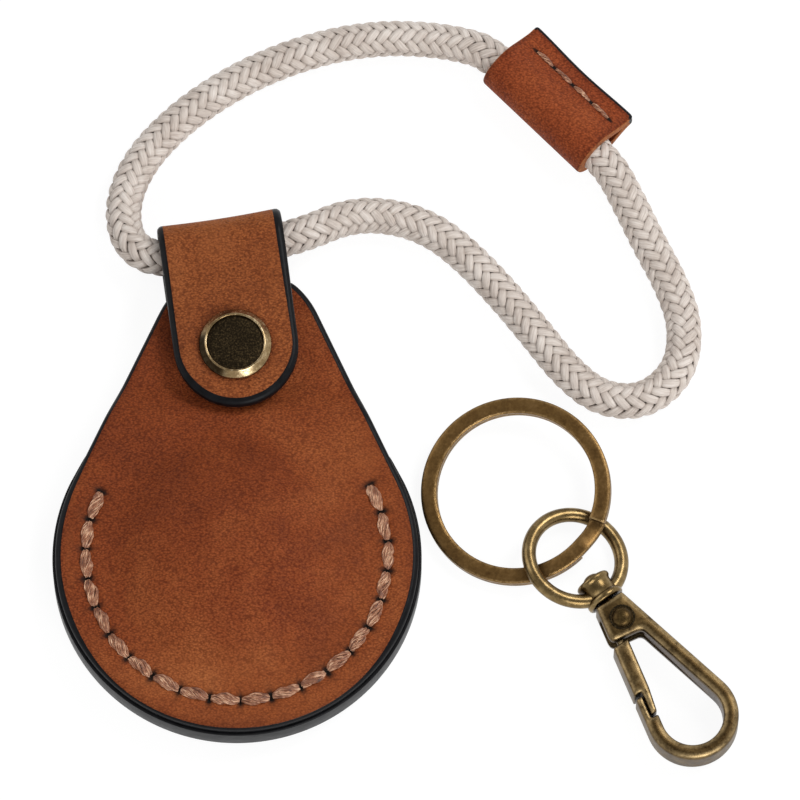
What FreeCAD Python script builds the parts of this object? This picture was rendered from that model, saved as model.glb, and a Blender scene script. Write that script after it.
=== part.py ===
"""Leather tracker tag holder: case with a snap strap, wrist cord, and a loose swivel clip with a key ring.

Frame: millimetres, origin on the resting face of the back panel under the middle of the tag pocket,
+X to the right, +Y towards the strap fold, +Z out of the front.
"""

import math
import os
import re

import FreeCAD
import Part
import Sketcher

SIZES = (
    ("leather", 1.5, "thickness of panels and strap"),
    ("welt_thickness", 4.2, "spacer between the panels"),
    ("case_radius", 25.5, "round lower end of the welt"),
    ("nose_radius", 12.5, "round upper end of the panels, before their inset"),
    ("nose_rise", 11.0, "from the line where the lip bends to the middle of the upper round"),
    ("panel_inset", 0.4, "panels stand back from the welt"),
    ("welt_width", 6.3, "width of the welt"),
    ("welt_end", 15.0, "upper ends of the welt"),
    ("dome_margin", 2.1, "from the stitches to the foot of the dome over the tag"),
    ("dome_rise", 4.2, "height of that dome"),
    ("dome_foot", 3.5, "hollow round at its foot"),
    ("split_margin", 0.8, "from the dome to the line where the unsewn lip starts to bend"),
    ("lip_gap", 0.1, "cut between front panel and lip"),
    ("lip_slope", 5.6, "length of the lip's slope"),
    ("lip_short", 2.4, "lip ends below the top of the back panel"),
    ("lip_level", 5.3, "top of the lip at the snap"),
    ("seam_inset", 4.6, "row of stitches from the edge of the welt"),
    ("seam_start", 154.2, "direction of its first hole"),
    ("seam_sweep", 234.7, "turn from first to last hole"),
    ("stitches", 20, "stitches that show"),
    ("stitch_hole", 0.5, "radius of an awl hole"),
    ("thread_radius", 0.45, "thread in the hole"),
    ("stitch_width", 1.5, "flattened thread on the leather"),
    ("stitch_height", 0.55, "its height"),
    ("stitch_groove", 0.65, "depth of the groove in the back"),
    ("stitch_air", 0.03, "thread stands clear of the leather"),
    ("strap_width", 17.0, "width of the strap"),
    ("strap_lean", 8.0, "lean of the strap to the left"),
    ("snap_x", -0.3, "snap centre"),
    ("snap_drop", 0.9, "snap below the middle of the upper round"),
    ("fold_distance", 15.5, "from the snap to the axis of the fold"),
    ("fold_radius", 3.1, "inside of the fold"),
    ("fold_gap", 0.05, "cut at the ends of the fold"),
    ("shank_radius", 1.5, "shank of the snap cap"),
    ("cap_radius", 5.05, "snap cap"),
    ("cap_height", 1.2, "bevelled rim above the strap"),
    ("disc_radius", 3.85, "recessed disc of the cap"),
    ("disc_height", 0.75, "disc above the strap"),
    ("socket_radius", 4.3, "snap socket"),
    ("socket_height", 1.9, "its height"),
    ("socket_bore", 2.55, "its bore"),
    ("plate", 0.4, "sheet of the socket's top"),
    ("flare_radius", 1.95, "turned-over end of the shank"),
    ("flare", 0.2, "thickness of that end"),
    ("spring_wire", 0.2, "radius of the socket's wires"),
    ("spring_offset", 1.86, "wires from the snap axis"),
    ("spring_half", 1.45, "half their length"),
    ("stud_radius", 3.9, "foot of the stud"),
    ("stud_foot", 0.3, "thickness of that foot"),
    ("stud_neck", 1.6, "neck of the stud"),
    ("stud_head", 2.05, "head of the stud"),
    ("stud_height", 1.6, "stud above the lip"),
    ("post_radius", 0.8, "post through the lip"),
    ("post_foot", 0.35, "its foot"),
    ("fit", 0.05, "play of pins and shanks in holes"),
    ("cord_radius", 2.55, "braided cord"),
    ("cord_home", 29.7, "height of the snap for which the route is drawn"),
    ("sleeve_leather", 1.35, "thickness of the sleeve"),
    ("sleeve_length", 19.0, "sleeve along the cord"),
    ("sleeve_x", 43.5, "sleeve centre on the cord axis"),
    ("sleeve_y", 66.1, "sleeve centre on the cord axis"),
    ("sleeve_turn", -45.0, "direction of the cord in the sleeve"),
    ("sleeve_neck", 4.35, "where the two layers meet"),
    ("sleeve_edge", 7.0, "free edge of the sleeve"),
    ("sleeve_row", 5.25, "row of stitches in the sleeve"),
    ("sleeve_pitch", 3.6, "from stitch to stitch"),
    ("sleeve_stitch", 2.2, "hole to hole of a stitch"),
    ("fine_thread", 0.25, "thread of the sleeve"),
    ("fine_width", 0.8, "its width on the leather"),
    ("fine_height", 0.35, "its height there"),
    ("clasp_beside", 25.8, "middle of the clasp's shoulder beside the case"),
    ("clasp_y", -5.85, "middle of the clasp's shoulder"),
    ("clasp_z", 2.8, "height of the swivel axis"),
    ("clasp_turn", -55.2, "direction from the eye to the hook"),
    ("clasp_thickness", 5.2, "hook and gate"),
    ("hook_distance", 20.0, "shoulder to the middle of the bow"),
    ("hook_radius", 6.4, "outside of the bow"),
    ("hook_bar", 2.1, "width of the hook's bar"),
    ("hook_angle", 12.4, "half the angle between arm and gate"),
    ("head_bottom", 5.5, "lower edge of the head"),
    ("head_corner", 1.0, "height of its rounded corner"),
    ("head_corner_width", 1.3, "width of that corner"),
    ("head_corner_radius", 1.4, "its round"),
    ("arm_start", 6.4, "where arm and head meet inside"),
    ("pivot", 3.2, "gate rivet from the shoulder"),
    ("slot_start", 1.45, "top of the slot for the gate"),
    ("slot_wall", 1.75, "side of that slot"),
    ("slot_taper", 0.2, "slot narrower at its lower end"),
    ("slot_height", 2.6, "its height"),
    ("tip", 13.85, "end of the hook"),
    ("lap_end", 17.2, "end of the gate's lip"),
    ("lap_air", 0.1, "play between hook and gate"),
    ("lap_end_air", 0.35, "play at the end of the lip, for its swing"),
    ("gate_width", 2.4, "bar of the gate"),
    ("gate_top", 6.1, "shoulder of the gate below the head"),
    ("gate_bottom", 13.4, "outer end of the gate"),
    ("knuckle", 1.55, "radius of the gate's knuckle"),
    ("knuckle_low", 0.05, "lower face of the knuckle from mid-height"),
    ("knuckle_high", 1.25, "its upper face"),
    ("rivet_radius", 0.8, "gate rivet"),
    ("rivet_head", 1.45, "its round head"),
    ("rivet_dome", 0.55, "height of the head"),
    ("coil_radius", 1.32, "turn of the gate spring"),
    ("coil_wire", 0.2, "radius of its wire"),
    ("coil_level", -0.7, "spring below mid-height"),
    ("coil_leg", 1.9, "straight end of the spring on the head"),
    ("coil_arm", 2.95, "straight end of the spring on the gate"),
    ("coil_first", 83.0, "direction where the turn starts"),
    ("coil_last", 265.0, "direction where it ends"),
    ("eye_radius", 6.6, "middle of the eye's wire"),
    ("eye_wire", 1.0, "radius of that wire"),
    ("eye_distance", 8.0, "shoulder to the middle of the eye"),
    ("eye_tilt", -16.0, "eye turned on the swivel"),
    ("barrel_radius", 2.4, "collar of the eye"),
    ("barrel_length", 3.7, "its length"),
    ("flange_radius", 2.75, "its flange"),
    ("flange", 0.8, "thickness of the flange"),
    ("swivel_air", 0.3, "play between collar and head"),
    ("swivel_radius", 1.0, "swivel rivet"),
    ("swivel_head", 1.5, "its head in the eye"),
    ("swivel_dome", 0.8, "height of that head"),
    ("swivel_seat", 1.2, "rivet set into the hook"),
    ("ring_beside", 13.1, "key ring centre beside the case"),
    ("ring_y", 10.35, "key ring centre"),
    ("ring_z", 2.7, "height of its middle"),
    ("ring_lean", -6.5, "ring lifted at its right side"),
    ("ring_roll", 4.0, "ring lifted at its upper side"),
    ("hook_round", 0.5, "rounded edges of the hook"),
    ("gate_round", 0.35, "rounded edges of the gate"),
    ("ring_radius", 12.1, "middle of its flat wire"),
    ("ring_wire_width", 2.2, "flat wire across"),
    ("ring_wire", 0.9, "flat wire thick"),
    ("ring_air", 0.1, "between the two turns"),
    ("ring_cross", 18.0, "angle in which the wire changes level"),
    ("ring_open", 3.0, "angle between the crossing and a cut end"),
    ("ring_start", -43.0, "direction of that crossing"),
    ("rim_share", 0.6, "of the cap rim, up to its bevel"),
    ("stud_low_share", 0.65, "of the stud, up to its widest part"),
    ("stud_high_share", 0.85, "of the stud, to the end of that part"),
    ("overrun", 6.0, "cuts run past the leather"),
)

# Corners of the cord's route, from one end in the sleeve round to the other end in it.
CORD_ROUTE = (
    (43.15, 66.45, 3.95), (35.6, 74.0, 3.95), (30.3, 75.9, 2.9), (25.0, 76.7, 2.55), (18.9, 76.7, 2.55),
    (12.1, 75.5, 2.55), (5.0, 73.1, 2.55), (-2.0, 69.5, 2.55), (-8.6, 64.6, 2.55), (-13.8, 58.8, 2.55),
    (-16.4, 52.4, 2.7), (-15.6, 46.2, 3.6), (-11.6, 43.5, 4.15), (-6.45, 44.4, 4.15), (2.5, 45.7, 4.15),
    (8.9, 47.2, 4.15), (15.2, 50.4, 3.1), (21.2, 50.6, 2.55), (27.0, 48.6, 2.55), (32.0, 44.5, 2.55),
    (37.2, 38.7, 2.55), (41.7, 33.0, 2.55), (45.7, 27.7, 2.55), (50.4, 23.75, 2.55), (56.5, 23.3, 2.55),
    (61.5, 27.8, 2.55), (62.3, 34.6, 2.55), (60.3, 40.6, 2.55), (57.2, 46.6, 2.55), (54.3, 52.8, 2.9),
    (51.4, 58.2, 3.95), (43.85, 65.75, 3.95),
)

BEND_SHARE = 0.45  # of the shorter run, taken by the arc at a corner of the route

doc = FreeCAD.newDocument("tag_holder")
sheet = doc.addObject("Spreadsheet::Sheet", "sizes")
for row, (alias, number, note) in enumerate(SIZES, 1):
    sheet.set(f"A{row}", note)
    sheet.set(f"B{row}", str(number))
    sheet.setAlias(f"B{row}", alias)
doc.recompute()

WORDS = re.compile(r"\b(" + "|".join(name for name, _, _ in SIZES) + r")\b")
UP = FreeCAD.Vector(0, 0, 1)
PARTS = []


def link(text):
    """The text as an expression on the cells of the sheet."""
    return WORDS.sub(r"sizes.\1", str(text))


def value(text):
    """What that expression comes to, as a number."""
    found = sheet.evalExpression(link(text))
    return float(getattr(found, "Value", found))


def drive(thing, **bound):
    """Binds properties to expressions; two underscores in a name stand for a dot."""
    for name, text in bound.items():
        thing.setExpression(name.replace("__", "."), link(text))
    return thing


def part(thing, label):
    """Names an object as a sub-part of the holder."""
    thing.Label = label
    PARTS.append(thing)
    return thing


def place(thing, x="0", y="0", z="0", turn="0", roll=None, tip=None):
    """Puts an object at x, y, z, turned about Z after a roll about its own X or a tip about its own Y."""
    spin = f"rotation(vector(0; 0; 1); {link(turn)})"
    if roll:
        spin += f" * rotation(vector(1; 0; 0); {link(roll)})"
    if tip:
        spin += f" * rotation(vector(0; 1; 0); {link(tip)})"
    thing.setExpression("Placement", f"placement(vector({link(x)}; {link(y)}; {link(z)}); {spin})")
    return thing


def body(label):
    return part(doc.addObject("PartDesign::Body", label + "_body"), label)


def sketch(owner, role, lift="0"):
    """A sketch on one of the body's own planes, moved along that plane's normal."""
    drawn = owner.newObject("Sketcher::SketchObject", owner.Name + "_sketch")
    plane = [f for f in owner.Origin.OriginFeatures if f.Role == role][0]
    drawn.AttachmentSupport = [(plane, "")]
    drawn.MapMode = "FlatFace"
    return drive(drawn, AttachmentOffset__Base__z=lift) if lift != "0" else drawn


def pin_point(drawn, geometry, end, x, y):
    """Fixes a point of the sketch by expressions for its coordinates."""
    for kind, text in (("DistanceX", x), ("DistanceY", y)):
        n = drawn.addConstraint(Sketcher.Constraint(kind, -1, 1, geometry, end, value(text)))
        drawn.setExpression(f"Constraints[{n}]", link(text))


def circle(drawn, x, y, radius):
    at = FreeCAD.Vector(value(x), value(y), 0)
    n = drawn.addGeometry(Part.Circle(at, UP, value(radius)), False)
    pin_point(drawn, n, 3, x, y)
    c = drawn.addConstraint(Sketcher.Constraint("Radius", n, value(radius)))
    drawn.setExpression(f"Constraints[{c}]", link(radius))


def outline(drawn, *corners):
    """A closed loop. A corner is (x, y), or (x, y, radius) where an arc leads to the next corner: it bends
    to the left for "+radius", to the right for "-radius", and a doubled sign takes the long way round."""
    ends = [FreeCAD.Vector(value(c[0]), value(c[1]), 0) for c in corners]
    made = []
    for i, corner in enumerate(corners):
        a, b = ends[i], ends[(i + 1) % len(ends)]
        if len(corner) < 3:
            made.append((drawn.addGeometry(Part.LineSegment(a, b), False), 1, 2))
            continue
        left, long_way = corner[2][0] == "+", corner[2][:2] in ("++", "--")
        radius = value(corner[2].lstrip("+-"))
        half = (b - a) * 0.5
        rise = math.sqrt(max(radius * radius - half.Length ** 2, 0.0))
        side = FreeCAD.Vector(-half.y, half.x, 0).normalize()
        middle = a + half + side * (rise if left != long_way else -rise)
        first, last = (math.atan2(p.y - middle.y, p.x - middle.x) for p in ((a, b) if left else (b, a)))
        arc = Part.ArcOfCircle(Part.Circle(middle, UP, radius), first, last)
        n = drawn.addGeometry(arc, False)
        made.append((n, 1, 2) if left else (n, 2, 1))
    for i, corner in enumerate(corners):
        n, start, end = made[i]
        after = made[(i + 1) % len(made)]
        drawn.addConstraint(Sketcher.Constraint("Coincident", n, end, after[0], after[1]))
        pin_point(drawn, n, start, corner[0], corner[1])
        if len(corner) > 2:
            text = corner[2].lstrip("+-")
            step = ends[(i + 1) % len(ends)] - ends[i]
            if abs(step.Length - 2 * value(text)) < 1e-6:  # a half circle is fixed by its middle
                k = int(abs(step.x) > abs(step.y))
                rule = Sketcher.Constraint(("DistanceX", "DistanceY")[k], -1, 1, n, 3, ends[i][k])
                text = corner[k]
            else:
                rule = Sketcher.Constraint("Radius", n, value(text))
            c = drawn.addConstraint(rule)
            drawn.setExpression(f"Constraints[{c}]", link(text))


def feature(owner, kind, drawn, **bound):
    made = owner.newObject("PartDesign::" + kind, owner.Name + "_" + kind.lower())
    made.Profile = drawn
    drive(made, **bound)
    owner.Tip = made
    return made


def pad(owner, drawn, length):
    return feature(owner, "Pad", drawn, Length=length)


def round_faces(owner, radius):
    """Rounds every edge of the flat faces that look up or down."""
    doc.recompute()
    last = owner.Tip
    flat = [n for n, f in enumerate(last.Shape.Faces, 1) if abs(abs(f.normalAt(0, 0).z) - 1) < 1e-6]
    made = owner.newObject("PartDesign::Fillet", owner.Name + "_round")
    made.Base = (last, [f"Face{n}" for n in flat])
    drive(made, Radius=radius)
    owner.Tip = made


def cut_through(owner, drawn):
    """Cuts a sketch through everything, both ways."""
    made = feature(owner, "Pocket", drawn)
    made.Type = "ThroughAll"
    made.Midplane = True
    return made


def turned(owner, drawn, axis="V_Axis", kind="Revolution", angle="360"):
    made = feature(owner, kind, drawn)
    made.ReferenceAxis = (drawn, [axis])
    drive(made, Angle=angle)
    return made


def cylinder(name, radius, height, x="0", y="0", z="0", along_x=False):
    made = drive(doc.addObject("Part::Cylinder", name), Radius=radius, Height=height)
    return place(made, x, y, z, tip="90" if along_x else None)


def joined(label, *things):
    made = doc.addObject("Part::MultiFuse", label + "_fuse")
    made.Shapes = list(things)
    return made


def less(name, base, tool):
    made = doc.addObject("Part::Cut", name)
    made.Base, made.Tool = base, tool
    return made


LEVEL = "(leather + welt_thickness)"  # underside of the front panel
FRONT = "(2 * leather + welt_thickness)"  # its flat top
PANEL = "(case_radius - panel_inset)"
NOSE = "(nose_radius - panel_inset)"
FOLD_Z = "(leather + fold_radius)"
WELT_INSIDE = "(case_radius - welt_width)"
SEAM = "(case_radius - seam_inset)"
DOME = f"({SEAM} - dome_margin)"
SPLIT = f"({DOME} + split_margin)"
NOSE_Y = f"({SPLIT} + nose_rise)"
SNAP_Y = f"({NOSE_Y} - snap_drop)"
LIP_END = f"({NOSE_Y} + {NOSE} - lip_short)"
CORD_SHIFT = f"({SNAP_Y} - cord_home)"
SIDE = f"asin((case_radius - nose_radius) / {NOSE_Y})"
CLASP_X = "(case_radius + clasp_beside)"
RING_X = "(case_radius + ring_beside)"
FLAP = "(leather + 2 * fold_radius)"  # underside of the flap


def side_x(radius, y):
    """Half the width of the case's straight flank at height y."""
    return f"({radius} - ({y}) * sin({SIDE})) / cos({SIDE})"


def flank(radius, y):
    """Left and right corners of an outline that runs round the lower end up to height y."""
    foot_x, foot_y = f"{radius} * cos({SIDE})", f"{radius} * sin({SIDE})"
    left = [(f"-({side_x(radius, y)})", y), (f"-{foot_x}", foot_y, f"++{radius}")]
    return left + [(foot_x, foot_y), (side_x(radius, y), y)]


def stitch_holes(owner):
    """The row of awl holes round the pocket."""
    drawn = sketch(owner, "XY_Plane")
    circle(drawn, f"{SEAM} * cos(seam_start)", f"{SEAM} * sin(seam_start)", "stitch_hole")
    hole = cut_through(owner, drawn)
    row = owner.newObject("PartDesign::PolarPattern", owner.Name + "_row")
    row.Originals = [hole]
    row.Axis = (drawn, ["N_Axis"])
    drive(row, Angle="seam_sweep", Occurrences="stitches + 1")
    owner.Tip = row


def back_panel():
    made = body("back_panel")
    drawn = sketch(made, "XY_Plane")
    top_x, top_y = f"{NOSE} * cos({SIDE})", f"{NOSE_Y} + {NOSE} * sin({SIDE})"
    foot_x, foot_y = f"{PANEL} * cos({SIDE})", f"{PANEL} * sin({SIDE})"
    outline(
        drawn,
        (f"-{top_x}", top_y),
        (f"-{foot_x}", foot_y, f"++{PANEL}"),
        (foot_x, foot_y),
        (top_x, top_y, f"+{NOSE}"),
    )
    pad(made, drawn, "leather")
    leg = sketch(made, "XY_Plane")
    reach = "(fold_distance - fold_gap)"
    outline(
        leg,
        *(
            (f"snap_x {u} strap_width / 2 * cos(strap_lean) - {v} * sin(strap_lean)",
             f"{SNAP_Y} {u} strap_width / 2 * sin(strap_lean) + {v} * cos(strap_lean)")
            for u, v in (("-", "0"), ("+", "0"), ("+", reach), ("-", reach))
        ),
    )
    pad(made, leg, "leather")
    groove = sketch(made, "XZ_Plane")
    near = f"({SEAM} * cos(seam_sweep / stitches / 2) - stitch_width / 2 - stitch_air)"
    far = f"({SEAM} + stitch_width / 2 + stitch_air)"
    outline(groove, (near, "-stitch_groove"), (far, "-stitch_groove"), (far, "stitch_groove"),
            (near, "stitch_groove"))
    turned(made, groove, kind="Groove")
    stitch_holes(made)


def welt():
    made = body("welt")
    drawn = sketch(made, "XY_Plane", "leather")
    outside, inside = flank("case_radius", "welt_end"), flank(WELT_INSIDE, "welt_end")
    (lx, ly), (fx, fy, _), (gx, gy), (rx, ry) = inside
    outline(drawn, *outside, (rx, ry), (gx, gy, f"--{WELT_INSIDE}"), (fx, fy), (lx, ly))
    pad(made, drawn, "welt_thickness")
    stitch_holes(made)


def front_panel():
    """Flat sewn rim with a dome whose section is a wide crown arc and a hollow arc at the foot."""
    made = body("front_panel")
    drawn = sketch(made, "XY_Plane", LEVEL)
    outline(drawn, *flank(PANEL, SPLIT))
    circle(drawn, "0", "0", DOME)
    pad(made, drawn, "leather")
    dome = sketch(made, "XZ_Plane")
    lean = f"(2 * atan(dome_rise / {DOME}))"
    crown, foot = f"(({DOME} - dome_foot) / sin({lean}))", f"(dome_foot / sin({lean}))"
    meet_x, meet_z = f"({DOME} - dome_foot)", f"({FRONT} + {foot} * (1 - cos({lean})))"
    outline(
        dome,
        ("0", f"{FRONT} + dome_rise - leather"),
        ("0", f"{FRONT} + dome_rise", f"-{crown}"),
        (meet_x, meet_z, f"+{foot}"),
        (DOME, FRONT),
        (DOME, LEVEL, f"-({foot} + leather)"),
        (f"{meet_x} - leather * sin({lean})", f"{meet_z} - leather * cos({lean})", f"+({crown} - leather)"),
    )
    turned(made, dome)
    stitch_holes(made)


def front_lip():
    """Unsewn upper end of the front: it slopes down from the split and lies level under the snap."""
    made = body("front_lip")
    drawn = sketch(made, "YZ_Plane", "-case_radius")
    start, bend = f"{SPLIT} + lip_gap", f"{SPLIT} + lip_slope"
    outline(drawn, (start, FRONT), (start, LEVEL), (bend, "lip_level - leather"),
            (LIP_END, "lip_level - leather"), (LIP_END, "lip_level"), (bend, "lip_level"))
    pad(made, drawn, "2 * case_radius")
    trim = sketch(made, "XY_Plane")
    wide, high = "(case_radius + overrun)", f"({LIP_END} + overrun)"
    outline(trim, (f"-{wide}", "0"), (wide, "0"), (wide, high), (f"-{wide}", high))
    top_x, top_y = f"{NOSE} * cos({SIDE})", f"{NOSE_Y} + {NOSE} * sin({SIDE})"
    end_y = f"{LIP_END} + overrun / 20"
    end_x = f"sqrt({NOSE} ^ 2 - ({end_y} - {NOSE_Y}) ^ 2)"
    low = f"{SPLIT} - overrun / 2"
    outline(
        trim,
        (f"-({side_x(PANEL, low)})", low),
        (side_x(PANEL, low), low),
        (top_x, top_y, f"+{NOSE}"),
        (end_x, end_y),
        (f"-{end_x}", end_y, f"+{NOSE}"),
        (f"-{top_x}", top_y),
    )
    cut_through(made, trim)
    hole = sketch(made, "XY_Plane")
    circle(hole, "snap_x", SNAP_Y, "post_radius + fit")
    cut_through(made, hole)


def strap(thing):
    """Puts a piece that is drawn from the snap axis in its place on the leaning strap."""
    return place(thing, "snap_x", SNAP_Y, "0", "strap_lean")


def strap_fold():
    made = strap(body("strap_fold"))
    drawn = sketch(made, "YZ_Plane", "-strap_width / 2")
    outer = "(fold_radius + leather)"
    outline(
        drawn,
        ("fold_distance", "0", f"+{outer}"),
        ("fold_distance", f"2 * {outer}"),
        ("fold_distance", FLAP, "-fold_radius"),
        ("fold_distance", "leather"),
    )
    pad(made, drawn, "strap_width")


def strap_flap():
    made = strap(body("strap_flap"))
    drawn = sketch(made, "XY_Plane", FLAP)
    top = "fold_distance - fold_gap"
    outline(drawn, ("strap_width / 2", "0"), ("strap_width / 2", top), ("-strap_width / 2", top),
            ("-strap_width / 2", "0", "+strap_width / 2"))
    circle(drawn, "0", "0", "shank_radius + fit")
    pad(made, drawn, "leather")


def lathe(label, z, *corners):
    """A turned piece of the snap."""
    made = place(body(label), "snap_x", SNAP_Y, z, "strap_lean")
    drawn = sketch(made, "XZ_Plane")
    outline(drawn, *corners)
    turned(made, drawn)


def snap():
    rim = "(cap_radius - disc_radius)"
    end = "-(leather + plate)"
    lathe(
        "snap_cap", f"{FLAP} + leather",
        ("0", "disc_height"), ("disc_radius", "disc_height"),
        (f"disc_radius + {rim} / 3", "cap_height"), (f"disc_radius + {rim} * rim_share", "cap_height"),
        ("cap_radius", "cap_height / 2"), ("cap_radius", "0"), ("shank_radius", "0"),
        ("shank_radius", end), ("flare_radius", end), ("flare_radius", f"{end} - flare"),
        ("0", f"{end} - flare"),
    )
    lathe(
        "snap_socket", FLAP,
        ("shank_radius + fit", "0"), ("shank_radius + fit", "-plate"), ("socket_bore", "-plate"),
        ("socket_bore", "-socket_height"), ("socket_radius - plate", "-socket_height"),
        ("socket_radius", "plate - socket_height"), ("socket_radius", "0"),
    )
    lathe(
        "snap_stud", "lip_level",
        ("post_radius + fit", "0"), ("stud_radius", "0"), ("stud_radius", "stud_foot"),
        ("stud_neck", "stud_foot"), ("stud_neck", "stud_height / 2"),
        ("stud_head", "stud_height * stud_low_share"), ("stud_head", "stud_height * stud_high_share"),
        ("stud_neck", "stud_height"), ("post_radius + fit", "stud_height"),
    )
    lathe(
        "snap_post", "lip_level - leather",
        ("0", "-post_foot"), ("stud_radius - post_foot", "-post_foot"), ("stud_radius", "-fit"),
        ("stud_radius", "0"), ("post_radius", "0"), ("post_radius", "leather + stud_height"),
        ("0", "leather + stud_height"),
    )
    wires = []
    for n, side in enumerate("-+"):
        wire = drive(doc.addObject("Part::Cylinder", f"wire_{n}"), Radius="spring_wire",
                     Height="2 * spring_half")
        level = "lip_level + stud_foot + stud_height / 8 + spring_wire"
        place(wire, f"snap_x {side} spring_offset * cos(strap_lean) + spring_half * sin(strap_lean)",
              f"{SNAP_Y} {side} spring_offset * sin(strap_lean) - spring_half * cos(strap_lean)",
              level, "strap_lean", roll="-90")
        wires.append(wire)
    pair = doc.addObject("Part::Compound", "wire_pair")
    pair.Links = wires
    part(pair, "snap_springs")


def prism(points, low, high):
    """A straight-sided solid on a flat polygon."""
    ring = [FreeCAD.Vector(x, y, low) for x, y in points]
    return Part.Face(Part.makePolygon(ring + ring[:1])).extrude(UP * (high - low))


def stitch(start, end, width, neck, low, high):
    """One stitch seen from above: full width along its middle, narrow where it enters the holes."""
    long = (end - start).Length
    taper = min(width, long / 3)
    half, point = width / 2, neck
    flat = [(0, -point), (taper, -half), (long - taper, -half), (long, -point),
            (long, point), (long - taper, half), (taper, half), (0, point)]
    made = prism(flat, low, high)
    made.rotate(FreeCAD.Vector(), UP, math.degrees(math.atan2(end.y - start.y, end.x - start.x)))
    made.translate(start)
    return made


def thread(label, holes, pairs, width, height, radius, low, high, air):
    """Thread through all the holes, with a stitch on both faces between the holes of each pair."""
    solids = []
    for n, face in ((0, low - air - height), (1, high + air)):
        solids += [stitch(holes[a], holes[b], width, radius, face, face + height) for a, b in pairs]
    reach = high - low + 2 * air + height
    for hole in holes:
        solids.append(Part.makeCylinder(radius, reach, hole + UP * (low - air - height / 2)))
    made = part(doc.addObject("Part::Feature", label + "_thread"), label)
    groups = [solids[0].multiFuse(solids[1:])]
    made.Shape = Part.makeCompound(groups[0].Solids)
    return made


def seam_thread():
    count, step = int(value("stitches")), value("seam_sweep / stitches")
    holes = []
    for n in range(count + 1):
        a = math.radians(value("seam_start") + n * step)
        holes.append(FreeCAD.Vector(math.cos(a), math.sin(a), 0) * value(SEAM))
    thread("seam_thread", holes, [(n, n + 1) for n in range(count)], value("stitch_width"),
           value("stitch_height"), value("thread_radius"), value("stitch_groove"), value(FRONT),
           value("stitch_air"))


def sleeve_holes():
    """Middles of the sleeve's stitches along the cord, as signs of half pitches."""
    return [f"{n} * sleeve_pitch / 2 {side} sleeve_stitch / 2" for n in (-3, -1, 1, 3) for side in "-+"]


def sleeve():
    """Leather folded round the cord, with both free edges sewn together on one side."""
    outer, neck = "(cord_radius + fit + sleeve_leather)", "(cord_radius + fit)"
    made = place(body("cord_sleeve"), "sleeve_x", f"sleeve_y + {CORD_SHIFT}", outer, "sleeve_turn")
    drawn = sketch(made, "YZ_Plane", "-sleeve_length / 2")
    far = "sqrt(sleeve_neck ^ 2 + sleeve_leather ^ 2)"
    touch = f"(atan(sleeve_leather / sleeve_neck) + acos({outer} / {far}))"
    outline(
        drawn,
        (f"{outer} * cos({touch})", f"{outer} * sin({touch})", f"++{outer}"),
        (f"{outer} * cos({touch})", f"-{outer} * sin({touch})"),
        ("sleeve_neck", "-sleeve_leather"),
        ("sleeve_edge", "-sleeve_leather"),
        ("sleeve_edge", "sleeve_leather"),
        ("sleeve_neck", "sleeve_leather"),
    )
    inner = f"acos({neck} / (sleeve_neck - plate))"
    outline(
        drawn,
        (f"{neck} * cos({inner})", f"{neck} * sin({inner})", f"++{neck}"),
        (f"{neck} * cos({inner})", f"-{neck} * sin({inner})"),
        ("sleeve_neck - plate", "0"),
    )
    pad(made, drawn, "sleeve_length")
    holes = sketch(made, "XY_Plane")
    for x in sleeve_holes():
        circle(holes, x, "sleeve_row", "fine_thread + fit")
    cut_through(made, holes)
    points = [FreeCAD.Vector(value(x), value("sleeve_row"), 0) for x in sleeve_holes()]
    sewn = thread("sleeve_thread", points, [(n, n + 1) for n in range(0, len(points), 2)],
                  value("fine_width"), value("fine_height"), value("fine_thread"),
                  value("-sleeve_leather"), value("sleeve_leather"), value("stitch_air"))
    place(sewn, "sleeve_x", f"sleeve_y + {CORD_SHIFT}", outer, "sleeve_turn")


def rounded_path(corners):
    """Straight runs joined by arcs that touch them, and the radii of those arcs."""
    edges, radii, at = [], [], corners[0]
    for before, corner, after in zip(corners, corners[1:], corners[2:]):
        a, b = before - corner, after - corner
        share = BEND_SHARE * min(a.Length, b.Length)
        a.normalize()
        b.normalize()
        half = (math.pi - a.getAngle(b)) / 2
        radius = share / math.tan(half)
        start, end = corner + a * share, corner + b * share
        inward = (a + b).normalize()
        middle = corner + inward * (radius / math.cos(half))
        top = middle - inward * radius
        edges += [Part.LineSegment(at, start).toShape(), Part.Arc(start, top, end).toShape()]
        radii.append(radius)
        at = end
    edges.append(Part.LineSegment(at, corners[-1]).toShape())
    return Part.Wire(edges), radii


def tube(path, radius):
    start = path.Edges[0]
    along = start.tangentAt(start.FirstParameter)
    ring = Part.Wire(Part.makeCircle(radius, start.valueAt(start.FirstParameter), along))
    return path.makePipeShell([ring], True, False)


def wrist_cord():
    path, radii = rounded_path([FreeCAD.Vector(*p) for p in CORD_ROUTE])
    made = part(doc.addObject("Part::Feature", "cord_tube"), "wrist_cord")
    made.Shape = tube(path, value("cord_radius"))
    place(made, "0", CORD_SHIFT)
    print("cord", round(path.Length, 1), "mm long, bends", [round(r, 1) for r in radii])
    print("cord volume over section times length",
          round(made.Shape.Volume / (math.pi * value("cord_radius") ** 2 * path.Length), 4))


def on_clasp(thing):
    """Puts a piece that is drawn from the clasp's shoulder, hook along +X, in its place."""
    return place(thing, CLASP_X, "clasp_y", "clasp_z", "clasp_turn")


def edge_line(side, s, inset="0"):
    """Outer flank of the clasp at distance s from the shoulder, moved in by inset."""
    return f"{side}((hook_radius - ({inset}) - (hook_distance - ({s})) * sin(hook_angle)) / cos(hook_angle))"


def touch_point(radius):
    return f"hook_distance - {radius} * sin(hook_angle)", f"{radius} * cos(hook_angle)"


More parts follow.
